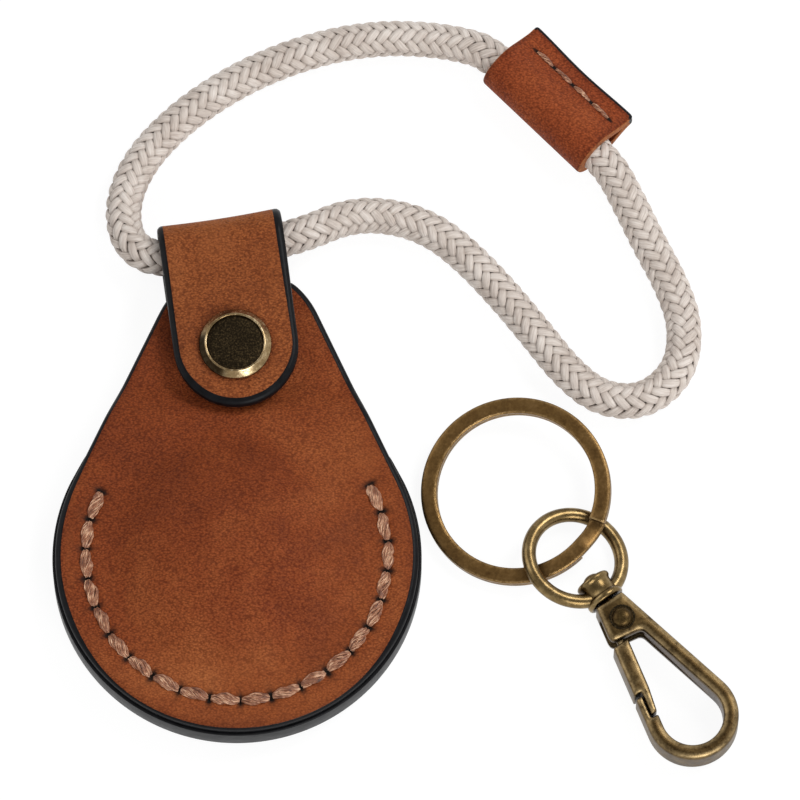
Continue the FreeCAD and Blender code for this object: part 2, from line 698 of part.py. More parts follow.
def clasp_hook():
    made = on_clasp(body("clasp_hook"))
    drawn = sketch(made, "XY_Plane", "-clasp_thickness / 2")
    bow, inner = "hook_radius", "(hook_radius - hook_bar)"
    (ox, oy), (ix, iy) = touch_point(bow), touch_point(inner)
    lap = "hook_bar / 2"
    outline(
        drawn,
        ("0", edge_line("", "0")),
        ("0", edge_line("-", "0")),
        ("head_bottom - head_corner", edge_line("-", "head_bottom - head_corner"), "+head_corner_radius"),
        ("head_bottom", edge_line("-", "head_bottom") + " + head_corner_width"),
        ("arm_start", edge_line("", "arm_start", "hook_bar")),
        (ix, iy, f"--{inner}"),
        (ix, f"-{iy}"),
        ("lap_end", edge_line("-", "lap_end", "hook_bar")),
        ("lap_end", edge_line("-", "lap_end", lap)),
        ("tip", edge_line("-", "tip", lap)),
        ("tip", edge_line("-", "tip")),
        (ox, f"-{oy}", f"++{bow}"),
        (ox, oy),
    )
    pad(made, drawn, "clasp_thickness")
    round_faces(made, "hook_round")
    slot = sketch(made, "XY_Plane", "-slot_height / 2")
    outline(slot, ("slot_start", "slot_wall"), ("slot_start", "-overrun"),
            ("head_bottom + hook_bar", "-overrun"), ("head_bottom + hook_bar", "-hook_bar / 2"),
            ("head_bottom + plate", "slot_wall - slot_taper"))
    made_slot = feature(made, "Pocket", slot, Length="slot_height")
    made_slot.Reversed = True
    hole = sketch(made, "XY_Plane")
    circle(hole, "pivot", "0", "rivet_radius + fit")
    cut_through(made, hole)
    seat = sketch(made, "YZ_Plane")
    circle(seat, "0", "0", "swivel_radius")
    feature(made, "Pocket", seat, Length="swivel_seat + fit").Reversed = True


def clasp_gate():
    """Bar with a lip that laps the hook inside, and a thin knuckle in the slot of the head."""
    made = on_clasp(body("clasp_gate"))
    bar = sketch(made, "XY_Plane", "-clasp_thickness / 2")
    lap = "hook_bar / 2 + lap_air"
    outline(
        bar,
        ("gate_top", edge_line("-", "gate_top")),
        ("gate_bottom", edge_line("-", "gate_bottom")),
        ("gate_bottom", edge_line("-", "gate_bottom", lap)),
        ("lap_end - lap_end_air", edge_line("-", "lap_end - lap_end_air", lap)),
        ("lap_end - lap_end_air", edge_line("-", "lap_end - lap_end_air", "hook_bar")),
        ("gate_bottom", edge_line("-", "gate_bottom", "gate_width")),
        ("gate_top", edge_line("-", "gate_top", "gate_width")),
    )
    pad(made, bar, "clasp_thickness")
    round_faces(made, "gate_round")
    root = sketch(made, "XY_Plane", "knuckle_low")
    outline(
        root,
        ("pivot - knuckle / 2", "-knuckle * sqrt(3) / 2"),
        ("gate_top - plate", edge_line("-", "gate_top - plate", "plate")),
        ("gate_top + plate", edge_line("-", "gate_top + plate", "plate")),
        ("gate_top + plate", edge_line("-", "gate_top + plate", "gate_width - plate")),
        ("pivot + knuckle / 2", "knuckle * sqrt(3) / 2", "++knuckle"),
    )
    pad(made, root, "knuckle_high - knuckle_low")
    hole = sketch(made, "XY_Plane")
    circle(hole, "pivot", "0", "rivet_radius + fit")
    cut_through(made, hole)


def gate_rivet():
    made = place(body("gate_rivet"), f"{CLASP_X} + pivot * cos(clasp_turn)",
                 "clasp_y + pivot * sin(clasp_turn)", "clasp_z", "clasp_turn")
    drawn = sketch(made, "XZ_Plane")
    top = "clasp_thickness / 2"
    curve = "((rivet_head ^ 2 + rivet_dome ^ 2) / (2 * rivet_dome))"
    outline(drawn, ("0", f"-{top}"), ("rivet_radius", f"-{top}"), ("rivet_radius", top),
            ("rivet_head", top, f"+{curve}"), ("0", f"{top} + rivet_dome"))
    turned(made, drawn)


def gate_spring():
    """One open turn of wire round the rivet with two straight ends."""
    turn, leg = value("coil_radius"), value("coil_leg")
    first, last = math.radians(value("coil_first")), math.radians(value("coil_last"))

    def at(angle, out=0.0):
        side = FreeCAD.Vector(-math.sin(angle), math.cos(angle), 0) * out
        return FreeCAD.Vector(math.cos(angle), math.sin(angle), 0) * turn + side

    middle = FreeCAD.Vector(value("pivot"), 0, value("coil_level"))
    path = Part.Wire([
        Part.LineSegment(middle + at(first, -leg), middle + at(first)).toShape(),
        Part.Arc(middle + at(first), middle + at((first + last) / 2), middle + at(last)).toShape(),
        Part.LineSegment(middle + at(last), middle + at(last, value("coil_arm"))).toShape(),
    ])
    made = part(doc.addObject("Part::Feature", "gate_wire"), "gate_spring")
    made.Shape = tube(path, value("coil_wire"))
    on_clasp(made)


def swivel_eye():
    """Wire eye whose ends run into a flanged collar on the swivel rivet."""
    wire = drive(doc.addObject("Part::Torus", "eye_wire_ring"), Radius1="eye_radius", Radius2="eye_wire")
    place(wire, "-eye_distance")
    back = "-(swivel_air + barrel_length)"
    collar = cylinder("collar", "barrel_radius", "barrel_length", back, along_x=True)
    rim = cylinder("collar_rim", "flange_radius", "flange", "-(swivel_air + flange)", along_x=True)
    bore = cylinder("collar_bore", "swivel_radius + fit", "barrel_length + overrun / 2",
                    f"{back} - overrun / 4", along_x=True)
    head_room = cylinder("head_room", "swivel_head + fit", "overrun / 2",
                         f"{back} - overrun / 2", along_x=True)
    made = part(less("eye_cut", joined("eye", wire, collar, rim), joined("eye_tools", bore, head_room)),
                "swivel_eye")
    place(made, CLASP_X, "clasp_y", "clasp_z", "clasp_turn", roll="eye_tilt")


def swivel_rivet():
    made = on_clasp(body("swivel_rivet"))
    drawn = sketch(made, "XY_Plane")
    back = "-(swivel_air + barrel_length + fit)"
    curve = "((swivel_head ^ 2 + swivel_dome ^ 2) / (2 * swivel_dome))"
    outline(drawn, (f"{back} - swivel_dome", "0"), ("swivel_seat", "0"), ("swivel_seat", "swivel_radius"),
            (back, "swivel_radius"), (back, "swivel_head", f"+{curve}"))
    turned(made, drawn, "H_Axis")


def split_ring():
    """Flat wire in two turns, which change level in a short crossing between the two cut ends."""
    middle, wide, thick = value("ring_radius"), value("ring_wire_width / 2"), value("ring_wire")
    high, cross = value("ring_wire + ring_air"), value("ring_cross")
    sweep = 360.0 - cross - value("ring_open")

    def section(angle, low):
        corners = [FreeCAD.Vector(middle + r, 0, low + z)
                   for r, z in ((-wide, 0), (wide, 0), (wide, thick), (-wide, thick))]
        loop = Part.makePolygon(corners + corners[:1])
        loop.rotate(FreeCAD.Vector(), UP, angle)
        return loop

    steps = 6
    levels = [(1 + math.cos(math.pi * n / steps)) / 2 * high for n in range(steps + 1)]
    crossing = Part.makeLoft([section(cross * n / steps, z) for n, z in enumerate(levels)], True)
    upper = Part.Face(section(0, high)).revolve(FreeCAD.Vector(), UP, -sweep)
    lower = Part.Face(section(cross, 0)).revolve(FreeCAD.Vector(), UP, sweep)
    shape = crossing.multiFuse([upper, lower])
    made = part(doc.addObject("Part::Feature", "ring_wire_turns"), "split_ring")
    shape.translate(UP * (-(high + thick) / 2))
    shape.rotate(FreeCAD.Vector(), UP, value("ring_start"))
    made.Shape = Part.makeCompound(shape.Solids)
    place(made, RING_X, "ring_y", "ring_z", roll="ring_roll", tip="ring_lean")


for build in (back_panel, welt, front_panel, front_lip, strap_fold, strap_flap, snap, seam_thread, sleeve,
              wrist_cord, clasp_hook, clasp_gate, gate_rivet, gate_spring, swivel_eye, swivel_rivet,
              split_ring):
    build()
    doc.recompute()

for thing in doc.Objects:
    if {"Invalid", "Error"} & set(thing.State):
        raise RuntimeError(f"{thing.Label}: {thing.State}")
os.makedirs("parts", exist_ok=True)
for thing in PARTS:
    if thing.Shape.isNull() or not thing.Shape.isValid() or not thing.Shape.Solids:
        raise RuntimeError(f"{thing.Label} has no valid solid")
    print(thing.Label, len(thing.Shape.Solids), "solids,", round(thing.Shape.Volume, 2), "mm3")
    thing.Shape.exportStep(f"parts/{thing.Label}.step")
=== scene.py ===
"""Looks of the leather tag holder, its wrist cord and its loose clip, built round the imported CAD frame."""

import random
from itertools import accumulate, product
from math import acos, asin, atan, atan2, copysign, cos, degrees, dist, exp, hypot, pi, radians, sin, sqrt

import bpy
import numpy as np
from mathutils import Matrix, Vector
from mathutils.geometry import delaunay_2d_cdt


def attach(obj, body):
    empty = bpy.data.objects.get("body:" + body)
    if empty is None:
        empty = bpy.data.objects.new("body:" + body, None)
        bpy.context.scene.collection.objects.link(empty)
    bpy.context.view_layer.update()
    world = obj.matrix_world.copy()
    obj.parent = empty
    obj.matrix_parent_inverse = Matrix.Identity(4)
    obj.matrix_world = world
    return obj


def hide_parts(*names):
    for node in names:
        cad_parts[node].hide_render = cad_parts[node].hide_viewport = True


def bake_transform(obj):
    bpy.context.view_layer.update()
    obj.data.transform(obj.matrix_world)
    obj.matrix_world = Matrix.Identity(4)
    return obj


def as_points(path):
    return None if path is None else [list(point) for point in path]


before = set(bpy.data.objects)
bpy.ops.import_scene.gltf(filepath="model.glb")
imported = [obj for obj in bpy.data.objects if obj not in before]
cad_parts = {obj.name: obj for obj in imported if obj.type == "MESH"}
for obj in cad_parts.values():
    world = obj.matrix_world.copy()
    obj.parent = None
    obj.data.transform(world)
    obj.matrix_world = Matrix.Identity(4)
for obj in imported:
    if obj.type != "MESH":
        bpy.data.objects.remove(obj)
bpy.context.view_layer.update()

MM = 0.001
TAU = 2 * pi

# Sizes in millimetres, as in the part's source.
LEATHER = 1.5
WELT = 4.2
CASE_R, NOSE_R, NOSE_Y = 25.5, 12.5, 30.6
PANEL_INSET = 0.4
WELT_IN, WELT_END = 19.2, 15.0
DOME_R, DOME_RISE, DOME_FOOT = 18.8, 4.2, 3.5
LEVEL = LEATHER + WELT
FRONT = LEVEL + LEATHER
LIP_START, LIP_BEND, LIP_END, LIP_TOP = 19.2, 25.8, 40.3, 5.3
SEAM_R, SEAM_START, SEAM_SWEEP, STITCHES = 20.9, 154.2, 234.7, 20
SNAP = (-0.3, 29.7)
STRAP_LEAN = radians(8.0)
STRAP_HALF, STRAP_HALF_TOP = 8.5, 8.15
FOLD_V, FOLD_IN = 15.5, 3.1
FOLD_Z = LEATHER + FOLD_IN
FLAP_TOP = 2 * FOLD_Z
CORD_R = 2.55
SLEEVE = (43.5, 66.1, 3.95)
SLEEVE_TURN = radians(-45.0)
RING_AT, RING_ROLL, RING_LEAN = (38.6, 10.35, 2.7), radians(4.0), radians(-6.5)
SIDE = asin((CASE_R - NOSE_R) / NOSE_Y)

# Corners of the cord's route, as in the part's source.
CORD_ROUTE = (
    (43.15, 66.45, 3.95), (35.6, 74.0, 3.95), (30.3, 75.9, 2.9), (25.0, 76.7, 2.55), (18.9, 76.7, 2.55),
    (12.1, 75.5, 2.55), (5.0, 73.1, 2.55), (-2.0, 69.5, 2.55), (-8.6, 64.6, 2.55), (-13.8, 58.8, 2.55),
    (-16.4, 52.4, 2.7), (-15.6, 46.2, 3.6), (-11.6, 43.5, 4.15), (-6.45, 44.4, 4.15), (2.5, 45.7, 4.15),
    (8.9, 47.2, 4.15), (15.2, 50.4, 3.1), (21.2, 50.6, 2.55), (27.0, 48.6, 2.55), (32.0, 44.5, 2.55),
    (37.2, 38.7, 2.55), (41.7, 33.0, 2.55), (45.7, 27.7, 2.55), (50.4, 23.75, 2.55), (56.5, 23.3, 2.55),
    (61.5, 27.8, 2.55), (62.3, 34.6, 2.55), (60.3, 40.6, 2.55), (57.2, 46.6, 2.55), (54.3, 52.8, 2.9),
    (51.4, 58.2, 3.95), (43.85, 65.75, 3.95),
)


def smooth(t):
    t = min(1.0, max(0.0, t))
    return t * t * (3 - 2 * t)


def span(first, last, steps):
    """Even values from first to last, both included."""
    return [first + (last - first) * i / steps for i in range(steps + 1)]


def turned(x, y, angle):
    c, s = cos(angle), sin(angle)
    return x * c - y * s, x * s + y * c


# Materials

def rgb(red, green, blue):
    """A screen colour, 0 to 255, as the shader takes it."""
    levels = (((c / 255 + 0.055) / 1.055) ** 2.4 if c > 10 else c / 3294 for c in (red, green, blue))
    return *levels, 1.0


class Nodes:
    """Short ways to add nodes to a tree."""

    def __init__(self, tree):
        self.tree = tree

    def node(self, kind, inputs=None, out=0, **settings):
        made = self.tree.nodes.new("ShaderNode" + kind)
        for key, setting in settings.items():
            setattr(made, key, setting)
        for key, source in (inputs or {}).items():
            self.feed(made.inputs[key], source)
        return made.outputs[out]

    def feed(self, socket, source):
        if isinstance(source, bpy.types.NodeSocket):
            self.tree.links.new(source, socket)
        else:
            socket.default_value = source

    def place(self):
        return self.node("TexCoord", out=3)

    def uv(self):
        return self.node("TexCoord", out=2)

    def noise(self, scale, detail=3.0, rough=0.55, at=None, warp=0.0):
        return self.node("TexNoise", {"Vector": at or self.place(), "Scale": scale, "Detail": detail,
                                      "Roughness": rough, "Distortion": warp})

    def cells(self, scale, at=None):
        return self.node("TexVoronoi", {"Vector": at or self.place(), "Scale": scale})

    def stretch(self, source, x, y, z):
        return self.node("Mapping", {"Vector": source, "Scale": (x, y, z)})

    def ramp(self, source, *stops):
        made = self.tree.nodes.new("ShaderNodeValToRGB")
        self.feed(made.inputs[0], source)
        while len(made.color_ramp.elements) < len(stops):
            made.color_ramp.elements.new(0.5)
        for element, (position, colour) in zip(made.color_ramp.elements, stops):
            element.position = position
            element.color = colour
        return made.outputs[0]

    def grey(self, source, low, high):
        """Spreads the range low to high of a value over 0 to 1."""
        return self.spread(source, 0.0, 1.0, low, high)

    def spread(self, source, low, high, first=0.0, last=1.0):
        """Spreads the range first to last of a value over low to high."""
        return self.node("MapRange", {"Value": source, "From Min": first, "From Max": last,
                                      "To Min": low, "To Max": high})

    def times(self, a, b):
        return self.node("Math", {0: a, 1: b}, operation="MULTIPLY")

    def minus(self, a, b):
        return self.node("Math", {0: a, 1: b}, operation="SUBTRACT")

    def weigh(self, a, share, b):
        """Weighted mean of two values; share is the part of the first."""
        return self.node("Math", {0: self.times(a, share), 1: self.times(b, 1 - share)}, operation="ADD")

    def mix(self, share, a, b, blend="MIX"):
        made = self.tree.nodes.new("ShaderNodeMix")
        made.data_type, made.blend_type = "RGBA", blend
        for index, source in ((0, share), (6, a), (7, b)):
            self.feed(made.inputs[index], source)
        return made.outputs[2]

    def tint(self, colour, red, green, blue):
        return self.mix(1.0, colour, (red, green, blue, 1.0), "MULTIPLY")

    def attribute(self, name):
        return self.node("Attribute", out=2, attribute_name=name)

    def bump(self, height, depth, strength=1.0, under=None):
        """depth is in metres."""
        inputs = {"Height": height, "Distance": depth, "Strength": strength}
        if under:
            inputs["Normal"] = under
        return self.node("Bump", inputs)

    def show(self, output, share, a, b):
        """Puts a mix of two shaders out."""
        mixed = self.node("MixShader", {0: share, 1: a, 2: b})
        self.feed(self.tree.nodes[output].inputs["Surface"], mixed)


class Shade(Nodes):
    """One material."""

    def __init__(self, name, **sockets):
        self.material = bpy.data.materials.new(name)
        self.material.use_nodes = True
        super().__init__(self.material.node_tree)
        self.shader = self.tree.nodes["Principled BSDF"]
        self.done(**sockets)

    def done(self, **sockets):
        for socket, source in sockets.items():
            self.feed(self.shader.inputs[socket.replace("_", " ")], source)
        return self.material


def leather(name, *colours, pores=0.0):
    """Oiled hide: soft patches, fine grain and pores. Marks give it a painted highlight, paler and with less
    grain; darkening towards the rubbed edge, with painted shade round the strap's cap and across the strap's
    middle; and near-black painted shade in the stitch holes and along the sleeve's row of stitches."""
    s = Shade(name, IOR=1.4, Specular_IOR_Level=0.2)
    dark, mid, light = (rgb(*colour) for colour in colours)
    moved = s.node("Mapping", {"Vector": s.place(), "Location": (0.013, 0.031, 0.0)})
    patch = s.noise(62.0, 5.0, 0.62, at=moved, warp=0.5)
    mottle = s.noise(430.0, 5.0, 0.7)
    along = s.stretch(s.place(), 0.8, 1.15, 1.0)
    grain = s.noise(4300.0, 2.0, 0.6, at=along)
    skin = s.cells(3300.0, along)
    colour = s.ramp(s.weigh(patch, 0.85, mottle), (0.24, dark), (0.5, mid), (0.76, light))
    pebble = s.weigh(s.grey(skin, 0.1, 0.8), 0.55, s.grey(grain, 0.3, 0.7))
    grained = s.mix(s.grey(pebble, 0.2, 0.8), s.tint(colour, 1.38, 1.44, 1.51),
                    s.tint(colour, 0.58, 0.51, 0.47))
    # Painted highlight where its mark is set: less grain and a paler, yellower colour.
    painted_light = s.attribute("painted_light")
    colour = s.mix(s.minus(1.0, s.times(painted_light, 0.3)), colour, grained)
    colour = s.mix(painted_light, colour, s.tint(colour, 1.26, 1.5, 1.62))
    streak = s.noise(120.0, 5.0, 0.75, at=s.stretch(s.place(), 1.0, 0.3, 1.0))
    colour = s.mix(s.times(s.grey(streak, 0.58, 0.8), 0.5), colour, light)
    scuff = s.noise(240.0, 6.0, 0.8, at=s.stretch(s.place(), 1.0, 0.55, 1.0), warp=0.6)
    colour = s.mix(s.times(s.grey(scuff, 0.54, 0.68), 0.6), colour, s.tint(colour, 1.35, 1.5, 1.6))
    height = s.minus(1.0, pebble)
    if pores:
        dots = s.grey(s.cells(1150.0), 0.23, 0.1)
        colour = s.mix(s.times(dots, pores), colour, s.tint(colour, 0.45, 0.38, 0.34))
        height = s.minus(height, s.times(dots, 0.7))
    # Painted shade, near black, in the stitch holes and along the sleeve's row of stitches.
    colour = s.mix(s.attribute("hole"), colour, (0.006, 0.004, 0.003, 1.0))
    # Darker towards the rubbed edge, and painted shade where the strap's mark sets it.
    colour = s.mix(s.times(s.attribute("rub"), 0.6), colour, s.tint(colour, 0.5, 0.42, 0.38))
    rough = s.spread(mottle, 0.54, 0.72, 0.3, 0.7)
    wave = s.bump(patch, 0.0005, 0.3)
    return s.done(Base_Color=colour, Roughness=rough, Normal=s.bump(height, 0.00012, 0.8, wave))


def edge_paint():
    """Black edge paint, satin, with a slight ripple."""
    s = Shade("edge_paint", IOR=1.4, Specular_IOR_Level=0.16)
    dull = s.noise(700.0, 3.0)
    colour = s.ramp(dull, (0.35, rgb(9, 9, 11)), (0.7, rgb(20, 20, 23)))
    ripple = s.bump(s.noise(260.0, 3.0), 0.0004, 0.3)
    return s.done(Base_Color=colour, Roughness=s.spread(dull, 0.3, 0.5), Normal=ripple)


def raw_edge():
    """Cut edge of the hide, fibrous and lighter."""
    s = Shade("raw_edge", Roughness=0.85)
    fibre = s.noise(1900.0, 4.0, 0.7)
    colour = s.ramp(fibre, (0.3, rgb(112, 58, 26)), (0.7, rgb(186, 112, 58)))
    return s.done(Base_Color=colour, Normal=s.bump(fibre, 0.0001, 0.7))


def thread_shade():
    """Flat waxed thread: long fibres, tan to pale."""
    s = Shade("waxed_thread", Specular_IOR_Level=0.5, Roughness=0.42, Sheen_Weight=0.1)
    fibres = s.noise(1.0, 3.0, 0.7, at=s.stretch(s.uv(), 2.0, 5.0, 1.0), warp=0.3)
    blotch = s.noise(900.0, 2.0)
    both = s.weigh(fibres, 0.7, blotch)
    colour = s.ramp(both, (0.38, rgb(80, 43, 27)), (0.5, rgb(158, 99, 67)), (0.61, rgb(240, 196, 160)))
    return s.done(Base_Color=colour, Normal=s.bump(fibres, 0.00012, 0.8))


def yarn_shade():
    """Braided cord: pale filaments that run along each strand, with painted shade where its mark is set."""
    s = Shade("cord_yarn", Specular_IOR_Level=0.35, Sheen_Weight=0.15, Sheen_Roughness=0.4)
    lines = s.noise(1.0, 3.0, 0.6, at=s.stretch(s.uv(), 2.0, 16.0, 1.0), warp=0.15)
    blotch = s.noise(300.0, 3.0)
    both = s.weigh(lines, 0.6, blotch)
    colour = s.ramp(both, (0.32, rgb(186, 171, 160)), (0.5, rgb(218, 206, 196)), (0.66, rgb(242, 233, 225)))
    # Painted shade in the dips between strands, on their flanks and on the core.
    crevice_shade = s.grey(s.attribute("crevice_shade"), 0.0, 1.0)
    colour = s.mix(s.times(crevice_shade, 0.85), colour, rgb(120, 105, 94))
    fuzz = s.bump(lines, 0.00006, 0.6)
    return s.done(Base_Color=colour, Roughness=s.spread(lines, 0.5, 0.7), Normal=fuzz)


def brass(name, *colours, rough=(0.3, 0.46), wear=0.0007, speck=0.35, hollow=True, grain=2600.0):
    """Antique brass: cloudy dark lacquer, darker in the hollows and rubbed bright along the soft edges, with
    painted shade where a mark sets it.
    colours are three of the lacquer and one of the edges, speck is the share of fine grain in the cloud, wear
    the width of the rubbed edges in metres, which needs the hollows too."""
    s = Shade(name, Metallic=1.0, IOR=1.5)
    dark, mid, light, edge = (rgb(*colour) for colour in colours)
    fine = s.noise(grain, 3.0, 0.7)
    both = s.weigh(fine, speck, s.noise(420.0, 5.0, 0.65))
    colour = s.ramp(both, (0.32, dark), (0.5, mid), (0.68, light))
    soft = None
    if hollow:
        open_air = s.node("AmbientOcclusion", {"Distance": 0.0022}, out=1, samples=8)
        colour = s.mix(s.grey(open_air, 0.88, 0.3), colour, s.tint(colour, 0.2, 0.16, 0.13))
    if wear:
        soft = s.node("Bevel", {"Radius": wear}, samples=8)
        flat = s.node("NewGeometry", out=1)
        dot = s.node("VectorMath", {0: soft, 1: flat}, out=1, operation="DOT_PRODUCT")
        rub = s.times(s.grey(dot, 0.995, 0.86), s.grey(fine, 0.3, 0.6))
        colour = s.mix(s.times(rub, s.grey(open_air, 0.5, 0.9)), colour, edge)
    # Painted shade where its mark is set: the left of the cap's bevel.
    colour = s.mix(s.attribute("painted_shade"), colour, s.tint(colour, 0.04, 0.033, 0.028))
    crest = s.times(s.attribute("crest"), s.grey(both, 0.3, 0.6))
    colour = s.mix(crest, colour, edge)
    gloss = s.spread(fine, *rough, 0.3, 0.7)
    return s.done(Base_Color=colour, Roughness=gloss, Normal=s.bump(fine, 0.00002, 0.3, soft))


def steel_wire():
    s = Shade("steel_wire", Metallic=1.0)
    drawn = s.noise(900.0, 3.0, at=s.stretch(s.place(), 1.0, 6.0, 1.0))
    colour = s.ramp(drawn, (0.3, rgb(150, 148, 142)), (0.7, rgb(196, 194, 188)))
    return s.done(Base_Color=colour, Roughness=s.grey(drawn, -0.6, 1.6))


PANEL = leather("panel_leather", (104, 46, 21), (130, 61, 27), (156, 84, 43))
STRAP = leather("strap_leather", (121, 60, 28), (142, 76, 37), (160, 92, 49), pores=0.5)
TUBE = leather("sleeve_leather", (118, 49, 23), (143, 66, 32), (164, 84, 44))
PAINT = edge_paint()
RAW = raw_edge()
THREAD = thread_shade()
YARN = yarn_shade()
BRASS = brass("antique_brass", (62, 46, 25), (108, 86, 50), (140, 116, 72), (206, 180, 130))
CAST = brass("cast_brass", (46, 33, 19), (84, 66, 39), (112, 91, 57), (200, 174, 128),
             rough=(0.34, 0.5), wear=0)
# Dark brass as painted shade for the wall inside the hook.
WALL = brass("shaded_brass", (26, 17, 10), (56, 39, 23), (92, 68, 41), (150, 116, 72), wear=0)
RING_BRASS = brass("ring_brass", (92, 67, 38), (116, 88, 51), (136, 106, 66), (206, 174, 122))
EYE_BRASS = brass("eye_brass", (84, 67, 41), (119, 99, 65), (158, 136, 96), (214, 190, 142),
                  rough=(0.25, 0.34), wear=0, speck=0.15)
RIM = brass("cap_rim", (84, 66, 42), (152, 128, 92), (222, 202, 164), (240, 220, 176),
            rough=(0.16, 0.3), wear=0, speck=0.3, hollow=False)
DISC = brass("cap_disc", (26, 21, 14), (38, 31, 21), (84, 70, 47), (120, 98, 60),
             rough=(0.42, 0.6), wear=0, speck=0.85, hollow=False, grain=3900.0)
DARK = brass("rivet_brass", (42, 31, 19), (74, 58, 34), (112, 92, 56), (170, 140, 92),
             rough=(0.28, 0.42))
STEEL = steel_wire()


# Meshes

def added(name, data):
    made = bpy.data.objects.new(name, data)
    bpy.context.scene.collection.objects.link(made)
    return made


def piece(name, verts, faces, body, slot, materials, nodes=(), picks=None, marks=None, uvs=None, ride=True):
    """A new mesh piece from points in millimetres."""
    mesh = bpy.data.meshes.new(name)
    mesh.from_pydata([(x * MM, y * MM, z * MM) for x, y, z in verts], [], faces)
    for material in materials:
        mesh.materials.append(material)
    if picks:
        mesh.polygons.foreach_set("material_index", picks)
    for key, values in (marks or {}).items():
        mesh.attributes.new(key, "FLOAT", "POINT").data.foreach_set("value", values)
    if uvs:
        flat = [c for loop in mesh.loops for c in uvs[loop.vertex_index]]
        mesh.uv_layers.new(name="UVMap").data.foreach_set("uv", flat)
    mesh.polygons.foreach_set("use_smooth", [True] * len(mesh.polygons))
    mesh.set_sharp_from_angle(angle=0.9)
    mesh.update()
    made = added(name, mesh)
    if nodes:
        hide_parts(*nodes)
    if ride:
        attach(made, body)
    return made


def arc(cx, cy, radius, first, last, step=0.55):
    count = max(2, int(abs(last - first) * radius / step) + 1)
    return [(cx + radius * cos(a), cy + radius * sin(a)) for a in span(first, last, count)]


def lengths(points):
    """Length along a line at each of its points."""
    return list(accumulate((dist(a, b) for a, b in zip(points, points[1:])), initial=0.0))


def places(points, reach, steps, count):
    """The first count places on a line that is cut into even steps; reach holds its lengths."""
    found, k = [], 0
    for i in range(count):
        at = reach[-1] * i / steps
        while k < len(points) - 2 and reach[k + 1] < at:
            k += 1
        t = (at - reach[k]) / max(reach[k + 1] - reach[k], 1e-12)
        found.append(tuple(a + (b - a) * t for a, b in zip(points[k], points[k + 1])))
    return found


def eased(before, here, after):
    """A point drawn towards its neighbours."""
    return tuple((a + 2 * b + c) / 4 for a, b, c in zip(before, here, after))


def evenly(loop, step, rounds=3):
    """The closed loop again at even steps, its corners eased."""
    line = loop + loop[:1]
    reach = lengths(line)
    count = int(reach[-1] / step)
    even = places(line, reach, count, count)
    for _ in range(rounds):
        even = [eased(even[i - 1], p, even[(i + 1) % count]) for i, p in enumerate(even)]
    return even


def inset(loop, widths):
    """The counter-clockwise loop moved inwards, by a width for each point."""
    moved = []
    for i, (p, width) in enumerate(zip(loop, widths)):
        a, b = loop[i - 1], loop[(i + 1) % len(loop)]
        tx, ty = b[0] - a[0], b[1] - a[1]
        share = width / hypot(tx, ty)
        moved.append((p[0] - ty * share, p[1] + tx * share))
    return moved


def inside(loop, x, y):
    hit = False
    for i, (bx, by) in enumerate(loop):
        ax, ay = loop[i - 1]
        if (ay > y) != (by > y) and x < (bx - ax) * (y - ay) / (by - ay) + ax:
            hit = not hit
    return hit


def depths(points, loop):
    """Distance of each point from the closed loop."""
    p = np.array(points)[:, None, :]
    a = np.array(loop)[None, :, :]
    along = np.roll(a, -1, 1) - a
    share = np.clip(((p - a) * along).sum(2) / (along ** 2).sum(2), 0, 1)
    return np.linalg.norm(p - a - share[:, :, None] * along, axis=2).min(1)


